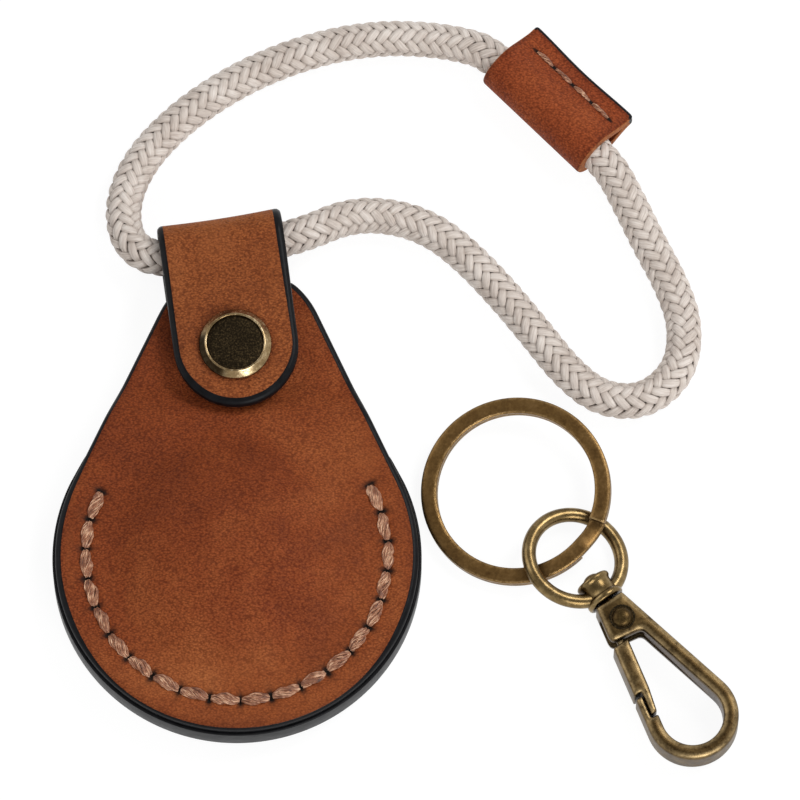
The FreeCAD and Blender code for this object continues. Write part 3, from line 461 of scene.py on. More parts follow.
def slab(name, loop, spacing, thickness, rim, shape, body, slot, materials, nodes=(), extra=(),
         band=lambda x, y: 0.4, marks=None, edge_pick=lambda x, y: 1, wall_pick=None, ride=True):
    """A sheet of leather or a flat casting on a closed loop. rim is how far the edges of the lower and the
    upper face are rounded. shape(x, y, n) gives the place of a point at height n in the sheet; the strip of
    width band(x, y) along the edge takes the material edge_pick(x, y), and the wall of the edge the same or
    wall_pick(x, y). extra holds more points of the mesh."""
    under, over = rim
    rim, count = max(max(rim), 0.1), len(loop)
    beside, apart = 0.15, spacing * 0.45  # room past the band, and between its points and the others
    last_of_band, within = 5, 9  # marks in order
    bands = [band(*p) for p in loop]
    rings = [[rim * k] * count for k in (0.05, 0.14)] + [[b * k for b in bands] for k in (0.4, 0.7, 1.0)]
    rings += [[max(b + beside, rim * 1.02) for b in bands]]
    flat, order = list(loop), [0] * count
    for k, widths in enumerate(rings, 1):
        ring = inset(loop, widths)
        kept = [p for p, width, true in zip(ring, widths, depths(ring, loop))
                if true > 0.93 * width and inside(loop, *p)]
        flat += kept
        order += [k] * len(kept)
    room = max(rim, 0.3) + apart
    lows, highs = [min(c) for c in zip(*loop)], [max(c) for c in zip(*loop)]
    row = spacing * sqrt(3) / 2
    grid = [(lows[0] + (i + 0.5 * (j % 2)) * spacing, lows[1] + j * row)
            for j in range(int((highs[1] - lows[1]) / row) + 2)
            for i in range(int((highs[0] - lows[0]) / spacing) + 2)]
    taken = {(round(x / spacing), round(y / spacing)) for x, y in extra}
    grid = [p for p in grid if (round(p[0] / spacing), round(p[1] / spacing)) not in taken] + list(extra)
    grid = [p for p, d in zip(grid, depths(grid, loop))
            if d > max(room, band(*p) + beside + apart) and inside(loop, *p)]
    flat += grid
    order += [within] * len(grid)
    edges = [(i, (i + 1) % count) for i in range(count)]
    out, _, tris, source, _, _ = delaunay_2d_cdt([Vector(p) for p in flat], edges, [], 1, 1e-7)
    order = [order[s[0]] if s else within for s in source]
    where = {s: k for k, group in enumerate(source) for s in group}
    spots = [(p.x, p.y) for p in out]
    spots = [(x, y, float(d)) for (x, y), d in zip(spots, depths(spots, loop))]

    def drop(d, r):
        return r - sqrt(max(r * r - (r - d) ** 2, 0.0)) if d < r else 0.0

    total = len(out)
    verts = [shape(x, y, thickness - drop(d, over)) for x, y, d in spots]
    verts += [shape(x, y, drop(d, under)) for x, y, d in spots]
    faces, picks = [], []
    for tri in tris:
        cx, cy = (sum(out[k][axis] for k in tri) / 3 for axis in (0, 1))
        banded = max(order[k] for k in tri) <= last_of_band
        pick = edge_pick(cx, cy) if banded else 0
        faces.append(tuple(tri))
        faces.append(tuple(k + total for k in reversed(tri)))
        picks += [pick, pick]
    for i, j in edges:
        a, b = where[i], where[j]
        faces.append((a, a + total, b + total, b))
        cx, cy = (out[a].x + out[b].x) / 2, (out[a].y + out[b].y) / 2
        picks.append((wall_pick or edge_pick)(cx, cy))
    given = {key: [rule(*spot, top) for top in (True, False) for spot in spots]
             for key, rule in (marks or {}).items()}
    return piece(name, verts, faces, body, slot, materials, nodes, picks, given, ride=ride)


def circle(count):
    return span(0.0, TAU, count)[:-1]


def quads(base, rows, count, closed=False, flip=False):
    """Faces between rows of points, each a closed ring of count points, from point base on; closed also joins
    the last row to the first."""
    faces = []
    for k in range(rows if closed else rows - 1):
        near, far = base + k * count, base + (k + 1) % rows * count
        for i in range(count):
            j = (i + 1) % count
            face = near + i, near + j, far + j, far + i
            faces.append((face[0], *face[:0:-1]) if flip else face)
    return faces


def caps(base, rows, count, flip=False):
    """Faces that close the first and the last row."""
    first = tuple(range(base, base + count))
    last = tuple(range(base + (rows - 1) * count, base + rows * count))
    return [first, last[::-1]] if flip else [first[::-1], last]


def lathe(profile, at, count=96):
    """Points and faces of a turned form; profile is (radius, height) from the axis out and round."""
    verts = [(at[0] + r * cos(a), at[1] + r * sin(a), at[2] + z)
             for r, z in profile for a in circle(count)]
    rows = len(profile)
    return verts, quads(0, rows, count) + caps(0, rows, count)


# Case

NOSE = NOSE_R - PANEL_INSET


def drop_loop(right, left, between=()):
    """Outline of a drop-shaped panel, counter-clockwise; right and left are the angles where its nose stops
    for the points between."""
    return (arc(0, NOSE_Y, NOSE, SIDE, right) + list(between) + arc(0, NOSE_Y, NOSE, left, pi - SIDE)
            + arc(0, 0, CASE_R - PANEL_INSET, pi - SIDE, TAU + SIDE))


HOLES = [turned(SEAM_R, 0, radians(a)) for a in span(SEAM_START, SEAM_START + SEAM_SWEEP, STITCHES)]
SEAM_WIDE, SEAM_FADE = 0.75, 0.8  # half width of the hollow along the stitches, and its fading ends
# Rows of extra points along the seam, so that the hollow is smooth.
SEAM_ROWS = (-1.3, -0.9, -0.55, -0.2, 0.2, 0.55, 0.9, 1.3)
SEAM_STEPS, SEAM_OVER = 260, 4
SEAM_ANGLES = span(SEAM_START - SEAM_OVER, SEAM_START + SEAM_SWEEP + SEAM_OVER, SEAM_STEPS)
SEAM_POINTS = [turned(SEAM_R + row, 0, radians(a)) for row in SEAM_ROWS for a in SEAM_ANGLES]


def on_seam(x, y):
    """1 along the row of stitches, falling to 0 beside it and past its ends."""
    a = (degrees(atan2(y, x)) - SEAM_START + 6) % 360 - 6
    past = max(0.0, -a, a - SEAM_SWEEP) * radians(SEAM_R)
    return exp(-((hypot(x, y) - SEAM_R) / SEAM_WIDE) ** 2 - (past / SEAM_FADE) ** 2)


def near_hole(x, y, across, along):
    """1 in a stitch hole, which lies across the seam; every second hole gapes."""
    if abs(hypot(x, y) - SEAM_R) > 2.5:
        return 0.0
    best = 0.0
    for n, (hx, hy) in enumerate(HOLES):
        dx, dy = x - hx, y - hy
        if dx * dx + dy * dy < 6:
            out = (dx * hx + dy * hy) / SEAM_R
            side = (dy * hx - dx * hy) / SEAM_R
            slim = 1.0 if n % 2 else 0.88
            best = max(best, exp(-(out / across) ** 2 - (side / (along * slim)) ** 2))
    return best


def dome(r):
    """Height of the front over its flat rim."""
    lean = 2 * atan(DOME_RISE / DOME_R)
    crown, foot = (DOME_R - DOME_FOOT) / sin(lean), DOME_FOOT / sin(lean)
    if r <= DOME_R - DOME_FOOT:
        return DOME_RISE - crown + sqrt(crown * crown - r * r)
    if r < DOME_R:
        return foot - sqrt(foot * foot - (DOME_R - r) ** 2)
    return 0.0


SEAM_SINK, HOLE_SINK = 0.2, 0.35  # depth of the front's hollow along the seam and at its holes
HOLE_LONG, HOLE_WIDE, HOLE_SHADE_LONG = 0.75, 0.5, 0.9  # a hole across the seam and along it, and the reach across the seam of the painted shade in it


def front_shape(x, y, n):
    lip = smooth((y - LIP_START) / (LIP_BEND - LIP_START))
    z = LEVEL + dome(hypot(x, y)) - (FRONT - LIP_TOP) * lip
    if n > LEATHER / 2:
        z -= SEAM_SINK * on_seam(x, y) + HOLE_SINK * near_hole(x, y, HOLE_LONG, HOLE_WIDE)
    return x, y, z + n


# Painted shade in the stitch holes of the front.
def hole_shade_mark(x, y, d, top):
    return min(1.0, 1.7 * near_hole(x, y, HOLE_SHADE_LONG, HOLE_WIDE)) if top else 0.0


def rub_mark(x, y, d, top):
    """Darker towards the painted edge."""
    return exp(-max(d - 0.6, 0.0) / 0.3) if d < 5 else 0.0


def painted_light_mark(x, y, d, top):
    """Painted highlight: paler towards the bottom and along the right side, where the light falls."""
    low = smooth((-8 - y) / 12) * (0.8 + 0.2 * smooth((x + 12) / 16))
    side = 0.5 * smooth((x - 6) / 10) * smooth((26 - y) / 16)
    return min(1.0, max(low, side))


FRONT_BAND = 0.8  # painted edge of the front


def front_band(x, y):
    """Width of the painted band along the front's edge: slim at the upper left and at the bottom."""
    upper_left = 0.25 * smooth((y - 4) / 14) if x < 0 else 0.0
    return FRONT_BAND - upper_left - 0.5 * smooth((-8 - y) / 14)


def front():
    """Sewn front and its lip, one cut piece, cut off level at the mouth."""
    end = asin((LIP_END - NOSE_Y) / NOSE)
    loop = evenly(drop_loop(end, pi - end), 0.5)
    made = slab("front_leather", loop, 0.75, LEATHER, (0.12, 0.75), front_shape, "case", "panel_leather",
                (PANEL, PAINT), ("front_panel", "front_lip"), SEAM_POINTS, front_band,
                {"hole": hole_shade_mark, "rub": rub_mark, "painted_light": painted_light_mark}, ride=False)
    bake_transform(made)


def strap_local(x, y):
    return turned(x - SNAP[0], y - SNAP[1], -STRAP_LEAN)


def strap_world(u, v):
    x, y = turned(u, v, STRAP_LEAN)
    return SNAP[0] + x, SNAP[1] + y


FOLD_LENGTH = pi * (FOLD_IN + LEATHER / 2)
TURNED_V = FOLD_V + FOLD_LENGTH
SNAP_V = TURNED_V + FOLD_V
FOLD_SAG, FOLD_SLANT = 0.25, 0.022  # the fold hangs in the middle, and lower towards the left
BACK_GROOVE = 0.65
DISHED, TIP_DROP = 0.22, 0.1  # the flap is pulled down round the cap and at its end
SPLAY_TOP, SPLAY_END = (0.35, 0.75), (0.1, 0.25)  # widening at the fold and the end, left and right
STRAP_BAND, FOLD_BAND, TIP_BAND = 0.82, 0.3, 0.18  # painted edge, and what the fold and the end add
CAP_R = 5.0


def back_shape(x, y, n):
    """Lies flat up to the fold, bends round the cord and comes back over the front."""
    u, v = strap_local(x, y)
    if v <= FOLD_V or y < LIP_END - 6:
        groove = BACK_GROOVE * on_seam(x, y) ** 0.5 if n < LEATHER / 2 else 0.0
        return x, y, n + (groove if groove > 0.1 else 0.0)
    bend = min((v - FOLD_V) / FOLD_LENGTH, 1.0) * pi
    out = FOLD_Z - n
    sag = FOLD_SAG * (1 - (u / STRAP_HALF) ** 2) + FOLD_SLANT * (STRAP_HALF - u)
    along, z = FOLD_V + (out - sag) * sin(bend), FOLD_Z - out * cos(bend)
    if v > TURNED_V:
        along -= v - TURNED_V
        far = hypot(u, v - SNAP_V)
        z -= DISHED * exp(-(max(far - 3.0, 0.0) / 4.0) ** 2) + TIP_DROP * smooth((far - 6) / 4)
    return (*strap_world(u, along), z)


def strap_half(v, right):
    """Half the strap's width along its flat pattern; the edge splays at the right of the fold."""
    if v < FOLD_V - 4:
        return STRAP_HALF
    top, end = STRAP_HALF_TOP + SPLAY_TOP[right], STRAP_HALF + SPLAY_END[right]
    down = smooth((v - TURNED_V) / (SNAP_V - TURNED_V))
    return STRAP_HALF + (top + (end - top) * down - STRAP_HALF) * smooth((v - FOLD_V + 4) / 4)


def strap_outline():
    """The strap's outline on its flat pattern, between the places on the nose where it starts, and the angles
    of those places."""
    steps, tip_steps = 80, 60

    def on_nose(a):
        return strap_local(NOSE * cos(a), NOSE_Y + NOSE * sin(a))

    angles = span(SIDE, pi - SIDE, 400)
    right = max(a for a in angles if on_nose(a)[0] > STRAP_HALF)
    left = min(a for a in angles if on_nose(a)[0] < -STRAP_HALF)
    start, stop = on_nose(right)[1] + 0.4, on_nose(left)[1] + 0.4
    rise, fall = span(start, SNAP_V, steps), span(SNAP_V, stop, steps)
    wide = strap_half(SNAP_V, True), strap_half(SNAP_V, False)
    turns = span(0.0, pi, tip_steps)[1:-1]
    tip = [(wide[i >= tip_steps // 2] * cos(a), SNAP_V + wide[0] * sin(a)) for i, a in enumerate(turns)]
    strip = [(strap_half(v, True), v) for v in rise] + tip + [(-strap_half(v, False), v) for v in fall]
    return [strap_world(*place) for place in strip], right, left


def back_rub_and_shade(x, y, d, top):
    """Darker towards the edge; painted shadow round the cap, and a little painted shade between the cap and
    the fold.
    """
    u, v = strap_local(x, y)
    far = hypot(u, v - SNAP_V)
    upper_left = smooth((SNAP_V - v - u) / max(far, 0.1) / 1.4)
    # Painted shadow round the cap, wider at its upper left.
    cap = exp(-((far - CAP_R) / (0.6 + 0.7 * upper_left)) ** 2)
    # Painted shade in a band across the strap between the cap and the fold.
    crease_shade = smooth((v - TURNED_V - 1) / 4) * smooth((SNAP_V - CAP_R - v) / 3) * smooth((7 - abs(u - 1)) / 3)
    return max(rub_mark(x, y, d, top), 0.8 * cap, 0.17 * crease_shade)


def back_painted_light(x, y, d, top):
    """Painted highlight over the crest of the fold; paler too along the left of the strap."""
    u, v = strap_local(x, y)
    if v < FOLD_V:
        return 0.0
    crest = 0.62 * exp(-((v - FOLD_V - 0.72 * FOLD_LENGTH) / 1.7) ** 2)
    return max(crest, 0.16 * smooth((-4 - u) / 3))


def back_band(x, y):
    u, v = strap_local(x, y)
    fold = FOLD_BAND * smooth((SNAP_V - v) / (SNAP_V - TURNED_V)) if u > 0 else 0.0
    return STRAP_BAND + fold + TIP_BAND * smooth((v - SNAP_V) / 6)


def back():
    """Back of the case and the strap, one cut piece."""
    strip, right, left = strap_outline()
    loop = drop_loop(right, left, strip)
    fold = [strap_world(u * 0.6, FOLD_V + w * 0.28) for u in range(-12, 13) for w in range(-3, 48)]
    made = slab("back_leather", evenly(loop, 0.5), 0.8, LEATHER, (0.75, 0.3), back_shape, "case",
                "strap_leather", (STRAP, PAINT), ("back_panel", "strap_fold", "strap_flap"),
                SEAM_POINTS + fold, back_band, {"hole": lambda *spot: 0.0, "rub": back_rub_and_shade, "painted_light": back_painted_light},
                ride=False)
    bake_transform(made)


def welt():
    """Spacer round the pocket, painted at its rim; its upper ends stand out at both sides."""
    out, within = ((radius - WELT_END * sin(SIDE)) / cos(SIDE) for radius in (CASE_R, WELT_IN))
    loop = [(0.25 - out, WELT_END)] + arc(0, 0, CASE_R, pi - SIDE, TAU + SIDE)
    loop += [(out - 0.25, WELT_END), (within, WELT_END)]
    loop += arc(0, 0, WELT_IN, TAU + SIDE, pi - SIDE) + [(-within, WELT_END)]
    slab("welt_spacer", evenly(loop, 0.5, 2), 1.6, WELT, (0.2, 0.2), lambda x, y, n: (x, y, LEATHER + n),
         "case", "edge_leather", (PAINT, PAINT), ("welt",))


def strand(verts, faces, uvs, points, across, sizes, count, first_u, length_u):
    """Adds a small level strand through points, with a ring of count points at each; across is its level side
    vector, sizes its radius at each point."""
    base, rows = len(verts), len(points)
    for k, (p, size) in enumerate(zip(points, sizes)):
        for i, a in enumerate(circle(count)):
            side = size * cos(a)
            verts.append((p[0] + across[0] * side, p[1] + across[1] * side, p[2] + size * sin(a)))
            uvs.append((first_u + length_u * k / rows, i / count))
    faces += quads(base, rows, count) + caps(base, rows, count)


SEAM_PLIES, SEAM_FILAMENTS, STITCH_STEPS = 3, 6, 16
PLY_WIDE, FILAMENT_WIDE = 0.56, 0.4  # parts of a stitch's half width
PLY_HIGH, FILAMENT_HIGH, THREAD_HIGH = 0.15, 0.12, 0.24
SEAM_SUNK, BACK_SUNK = 0.45, 0.56  # where a stitch starts, below the front and over the back's lower face


def seam():
    """Stitches on the front, each of three flat plies of waxed filaments twisted together, and the same in
    the groove of the back."""
    rng = random.Random(5)
    verts, faces, uvs = [], [], []
    for n in range(STITCHES):
        (ax, ay), (bx, by) = HOLES[n], HOLES[n + 1]
        dx, dy = bx - ax, by - ay
        side = Vector((-dy, dx)).normalized()
        for front_side in (True, False):
            half = rng.uniform(0.72, 0.86) if front_side else 0.52
            first, last = (0.09, 0.9) if n % 2 == 0 else (0.1, 0.92)
            lean, start, twist = rng.uniform(-0.12, 0.12), rng.uniform(0, TAU), rng.uniform(2.0, 3.4)
            fat = rng.uniform(0.85, 1.1)
            for ply, f in product(range(SEAM_PLIES), range(SEAM_FILAMENTS)):
                points, sizes = [], []
                loose = rng.uniform(-0.07, 0.07)
                begin = first + rng.uniform(-0.06, 0.04)
                end = last + rng.uniform(-0.04, 0.06)
                for t in span(0.0, 1.0, STITCH_STEPS):
                    at = begin + (end - begin) * t
                    swell = sin(pi * (0.05 + 0.9 * t)) ** 0.5
                    turn = start + TAU * ply / SEAM_PLIES + twist * t
                    roll = TAU * f / SEAM_FILAMENTS + 4 * t + ply
                    across = (cos(turn) * PLY_WIDE + cos(roll) * FILAMENT_WIDE) * half * swell
                    across += (lean + loose * sin(7 * t + f)) * swell
                    rise = (THREAD_HIGH + PLY_HIGH * sin(turn) + FILAMENT_HIGH * sin(roll)) * fat
                    level = BACK_SUNK - 0.3 * rise * swell
                    if front_side:
                        level = FRONT - SEAM_SUNK + (0.32 + rise) * swell
                    points.append((ax + dx * at + side.x * across, ay + dy * at + side.y * across, level))
                    sizes.append(0.1 + 0.06 * swell)
                strand(verts, faces, uvs, points, side, sizes, 6, n * 3.7 + f * 1.3 + ply * 5.1, 1.2)
    piece("seam_stitches", verts, faces, "case", "waxed_thread", (THREAD,), ("seam_thread",), uvs=uvs)


# Snap

# Turned outlines of the cap over the flap's face, as radius and height.
CAP_RIM = ((4.95, -0.1), (5.03, 0.02), (5.05, 0.1), (5.05, 0.24), (5.0, 0.34), (4.9, 0.44), (4.3, 1.0),
           (4.2, 1.1), (4.1, 1.14), (4.0, 1.1), (3.93, 1.0), (3.9, 0.86), (3.86, 0.7))
CAP_BEVEL_ROWS = 7  # rows of the rim up to its bevel
CAP_DISC = ((3.84, 0.71), (3.7, 0.735), (3.0, 0.76), (1.5, 0.78), (0.05, 0.785))
CAP_SHANK = ((0.2, -2.1), (1.95, -2.1), (1.95, -1.9), (1.5, -1.85), (1.5, -0.05), (4.9, -0.05), (4.9, 0.05))


def cap_shade(a):
    """Painted shade, dark at the left of the bevel and at a short stretch of its top; a is the angle round
    the cap.
    """
    return max(0.96 * smooth((1.0 - abs(a - 3.6)) / 0.4), 0.6 * smooth((0.22 - abs(a - 1.85)) / 0.15))


def snap_cap():
    """Bevelled bright rim round a dark sunk disc, with its shank below."""
    place, sides = (*SNAP, FLAP_TOP), 96
    # Painted shade on the rim's bevel.
    rim_shade = [cap_shade(a) if k < CAP_BEVEL_ROWS else 0.0 for k in range(len(CAP_RIM)) for a in circle(sides)]
    verts, faces = lathe(CAP_RIM, place, sides)
    piece("snap_cap_rim", verts, faces[:-2], "flap", "antique_brass", (RIM,), ("snap_cap",),
          marks={"painted_shade": rim_shade})
    verts, faces = lathe(CAP_DISC, place, sides)
    piece("snap_cap_disc", verts, faces[:-2] + faces[-1:], "flap", "antique_brass", (DISC,))
    piece("snap_cap_shank", *lathe(CAP_SHANK, place, 64), "flap", "antique_brass", (BRASS,))


# Wrist cord

def cord_line():
    """Points read from the NURBS curve on the route's corners, in metres."""
    curve = bpy.data.curves.new("cord_guide", "CURVE")
    curve.dimensions = "3D"
    curve.resolution_u = 24
    spline = curve.splines.new("NURBS")
    spline.points.add(len(CORD_ROUTE) - 1)
    for point, corner in zip(spline.points, CORD_ROUTE):
        point.co = (*(c * MM for c in corner), 1.0)
    spline.order_u = 3
    spline.use_endpoint_u = True
    guide = bpy.data.objects.new("cord_guide", curve)
    mesh = bpy.data.meshes.new_from_object(guide)
    points = [v.co.copy() for v in mesh.vertices]
    bpy.data.objects.remove(guide)
    bpy.data.meshes.remove(mesh)
    return points


def along_line(points, count):
    """Even points of a line, with side vectors that don't twist, and its length."""
    reach = lengths(points)
    spots = [Vector(p) for p in places(points, reach, count - 1, count)]
    sides, up = [], Vector((0, 0, 1))
    for i in range(count):
        ahead = (spots[min(i + 1, count - 1)] - spots[max(i - 1, 0)]).normalized()
        up = (up - ahead * up.dot(ahead)).normalized()
        sides.append((ahead.cross(up).normalized(), up.copy()))
    return spots, sides, reach[-1]


BRAID_STRANDS, BRAID_TURN = 8, 13.8  # strands each way, and the length in which one goes round
STRAND_SPOTS, STRAND_RING = 860, 10
STRAND_IN, STRAND_LIFT = 0.56, 0.23  # a strand's middle below the cord's face, and its rise and fall
STRAND_HALF, STRAND_SWELL, STRAND_THICK = 0.53, 0.1, 0.32  # half width, what it gains on top, half thickness
CORE_IN, CORE_RING, CORE_STEP = 0.8, 14, 4


def rounder(wave):
    """A sine with fuller crests."""
    return copysign(abs(wave) ** 0.8, wave)


def cord():
    """Sixteen flat strands, eight each way, that pass over two and under two, on a core that takes full
    painted shade. Returns the piece and its middle line."""
    spots, sides, length = along_line(cord_line(), STRAND_SPOTS)
    verts, faces, uvs, crevice_shade = [], [], [], []
    length /= MM
    for way, n in product((1, -1), range(BRAID_STRANDS)):
        base = len(verts)
        for k, (u, v) in enumerate(sides):
            t = k / (STRAND_SPOTS - 1)
            a = TAU * n / BRAID_STRANDS + way * TAU * length / BRAID_TURN * t
            lift = rounder(way * cos(a * BRAID_STRANDS / 2 - pi / 4))
            radius = CORD_R - STRAND_IN + STRAND_LIFT * lift
            out = u * cos(a) + v * sin(a)
            around = v * cos(a) - u * sin(a)
            pace = (around * (way * TAU * radius / BRAID_TURN) + v.cross(u)).normalized()
            across = out.cross(pace) * (STRAND_HALF + STRAND_SWELL * lift)
            middle = spots[k] / MM + out * radius
            for i, b in enumerate(circle(STRAND_RING)):
                flat = rounder(sin(b))
                verts.append(tuple(middle + across * cos(b) + out * (STRAND_THICK * flat)))
                uvs.append((t * length / 3.0 + n * 0.37, i / STRAND_RING))
                # Painted shade where a strand dips under the others and on its flanks.
                crevice_shade.append(0.85 * smooth((0.45 - lift) / 0.9) + 0.4 * (1 - max(flat, 0.0)) ** 2)
        faces += quads(base, STRAND_SPOTS, STRAND_RING) + caps(base, STRAND_SPOTS, STRAND_RING)
    base = len(verts)
    rows = range(0, STRAND_SPOTS, CORE_STEP)
    for k in rows:
        u, v = sides[k]
        for i, a in enumerate(circle(CORE_RING)):
            verts.append(tuple(spots[k] / MM + (u * cos(a) + v * sin(a)) * (CORD_R - CORE_IN)))
            uvs.append((k / 100, i / CORE_RING))
            # The core is coloured as full painted shade.
            crevice_shade.append(1.0)
    faces += quads(base, len(rows), CORE_RING)
    made = piece("wrist_cord_braid", verts, faces, "case", "braided_cord", (YARN,), ("wrist_cord",),
                 marks={"crevice_shade": crevice_shade}, uvs=uvs)
    return made, spots


# Sleeve on the cord

SLEEVE_LEATHER, SLEEVE_LONG = 1.35, 19.0
SLEEVE_NECK, SLEEVE_EDGE, SLEEVE_SEAM = 4.35, 7.0, 3.5
SLEEVE_BOW = 0.3  # how far the free edges curve in
SLITS = (-6.8, -3.2, 0.4, 4.0, 7.6)
FREE_BAND, END_BAND, FREE_EDGE = 0.42, 0.16, 0.8  # painted band, raw band, and what counts as free edge
SLEEVE_PLIES, PLY_STEPS = 4, 12


def sleeve_path():
    """Middle line of the folded leather across the cord: from one free edge round to the other."""
    half, mid = SLEEVE_LEATHER / 2, CORD_R + 0.05 + SLEEVE_LEATHER / 2
    touch = atan2(half, SLEEVE_NECK) + acos(mid / hypot(SLEEVE_NECK, half))
    around = [turned(mid, 0, a) for a in span(touch, TAU - touch, 60)]
    upper = [(y, half) for y in span(SLEEVE_EDGE, SLEEVE_NECK + 0.6, 8)]
    path = upper + around + [(y, -z) for y, z in reversed(upper)]
    for _ in range(4):
        path = path[:1] + [eased(*near) for near in zip(path, path[1:], path[2:])] + path[-1:]
    return path


def sleeve():
    """Folded leather, painted along its free edges and raw at its ends, with four stitches through both
    layers. t runs along the cord, w across the leather. Returns its pieces."""
    path = sleeve_path()
    reach = lengths(path)
    total, half = reach[-1], SLEEVE_LONG / 2

    def from_row(w):
        return min(abs(w - SLEEVE_SEAM), abs(w - total + SLEEVE_SEAM))

    def slit(t, w, across, along):
        ends = min(abs(t - e) for e in SLITS)
        return exp(-(from_row(w) / across) ** 2 - (ends / along) ** 2)

    def shape(t, w, n):
        w = min(max(w, 0.0), total)
        k = max(i for i in range(len(reach) - 1) if reach[i] <= w + 1e-9)
        share = (w - reach[k]) / (reach[k + 1] - reach[k])
        (ay, az), (by, bz) = path[k], path[k + 1]
        ty, tz = by - ay, bz - az
        off = (n - SLEEVE_LEATHER / 2) / hypot(ty, tz)
        y, z = ay + ty * share + tz * off, az + tz * share - ty * off
        if n > SLEEVE_LEATHER / 2:
            z -= copysign(0.25 * slit(t, w, 0.5, 0.8), z)
        x, y = turned(t, y, SLEEVE_TURN)
        return SLEEVE[0] + x, SLEEVE[1] + y, SLEEVE[2] + z

    # Painted shade, near black, in the slits and in a groove along the row of stitches.
    def hole(t, w, d, top):
        groove = 0.85 * exp(-(from_row(w) / 0.38) ** 2) if SLITS[0] < t < SLITS[-1] else 0.0
        return min(1.0, 1.6 * slit(t, w, 0.26, 0.6) + groove) if top else 0.0

    # Painted highlight: a soft pale band along the middle of the sleeve.
    def painted_light(t, w, d, top):
        return 0.36 * exp(-((w - 7) / 2.6) ** 2) * smooth((9 - abs(t)) / 4)

    def at_end(t, w):
        return FREE_EDGE <= w <= total - FREE_EDGE

    bow = [(t, SLEEVE_BOW * cos(pi * t / SLEEVE_LONG) ** 2) for t in span(-half, half, 40)]
    loop = bow + [(t, total - w) for t, w in reversed(bow)]
    near = product(SLITS, range(-5, 6), range(-3, 4))
    extra = [(e + dt * 0.2, SLEEVE_SEAM + dw * 0.2) for e, dt, dw in near]
    extra += [(t, total - w) for t, w in extra]
    tube = slab("cord_sleeve_leather", evenly(loop, 0.35, 2), 0.55, SLEEVE_LEATHER, (0.15, 0.4), shape,
                "case", "sleeve_leather", (TUBE, PAINT, RAW), ("cord_sleeve",), extra,
                lambda t, w: END_BAND if at_end(t, w) else FREE_BAND,
                {"hole": hole, "rub": rub_mark, "painted_light": painted_light}, lambda t, w: 2 if at_end(t, w) else 1)
    rng = random.Random(11)
    verts, faces, uvs = [], [], []
    steps = span(0.0, 1.0, PLY_STEPS)
    sizes = [0.09 + 0.06 * sin(pi * t) for t in steps]
    rows = SLEEVE_SEAM, total - SLEEVE_SEAM
    for n, row, ply in product(range(len(SLITS) - 1), rows, range(SLEEVE_PLIES)):
        lean, phase = rng.uniform(-0.08, 0.08), rng.uniform(-0.4, 0.4)
        points = []
        for t in steps:
            swell = sin(pi * (0.06 + 0.88 * t)) ** 0.4
            wind = pi * (2.3 * t + ply / 2) + phase
            points.append(shape(SLITS[n] + 0.3 + 3.0 * t, row + (0.22 * cos(wind) + lean) * swell,
                                SLEEVE_LEATHER - 0.12 + (0.24 + 0.14 * sin(wind)) * swell))
        strand(verts, faces, uvs, points, turned(0, 1, SLEEVE_TURN), sizes, 7, n + ply * 2.1, 1.0)
    thread = piece("sleeve_stitches", verts, faces, "case", "waxed_thread", (THREAD,), ("sleeve_thread",),
                   uvs=uvs)
    return [tube, thread]


# Key ring

RING_MID, RING_HALF, RING_THICK, RING_CORNER = 12.1, 1.1, 0.9, 0.16
RING_PITCH, RING_START = 1.0, radians(-43)
RING_CROSS, RING_GAP = radians(18), radians(3)  # where it changes level, and between its cut ends


def key_ring():
    """Flat wire in two turns; it changes level between its two cut ends."""
    sweep, count, crossing = TAU - RING_CROSS - RING_GAP, 150, 14
    angles = span(-sweep, 0.0, count)[:-1] + span(0.0, RING_CROSS, crossing)[:-1]
    angles += span(RING_CROSS, RING_CROSS + sweep, count)
    wide, high = RING_HALF - RING_CORNER, RING_THICK / 2 - RING_CORNER
    section = []
    for quarter, (x, z) in enumerate(((wide, high), (-wide, high), (-wide, -high), (wide, -high))):
        section += arc(x, z, RING_CORNER, pi / 2 * quarter, pi / 2 * (quarter + 1), 0.1)
    pose = Matrix.Rotation(RING_ROLL, 3, "X") @ Matrix.Rotation(RING_LEAN, 3, "Y")
    verts = []
    for a in angles:
        level = RING_PITCH * (1 - smooth(a / RING_CROSS)) - RING_PITCH / 2
        for x, z in section:
            flat = turned(RING_MID + x, 0, a + RING_START)
            verts.append(tuple(pose @ Vector((*flat, level + z)) + Vector(RING_AT)))
    size = len(angles), len(section)
    piece("split_key_ring", verts, quads(0, *size) + caps(0, *size), "ring", "antique_brass", (RING_BRASS,),
          ("split_ring",))


# Snap hook, drawn from the middle of its shoulder with the hook along +X

CLASP, CLASP_TURN = (51.3, -5.85, 2.8), radians(-55.2)
HOOK_MID, HOOK_R, HOOK_BAR, HOOK_LEAN = 20.0, 6.4, 2.1, radians(12.4)
CLASP_THICK, SLOT_HIGH = 5.2, 2.6
EYE_R, EYE_WIRE, EYE_BACK, EYE_TILT = 6.6, 1.0, 8.0, radians(-16.0)
PIVOT = 3.2
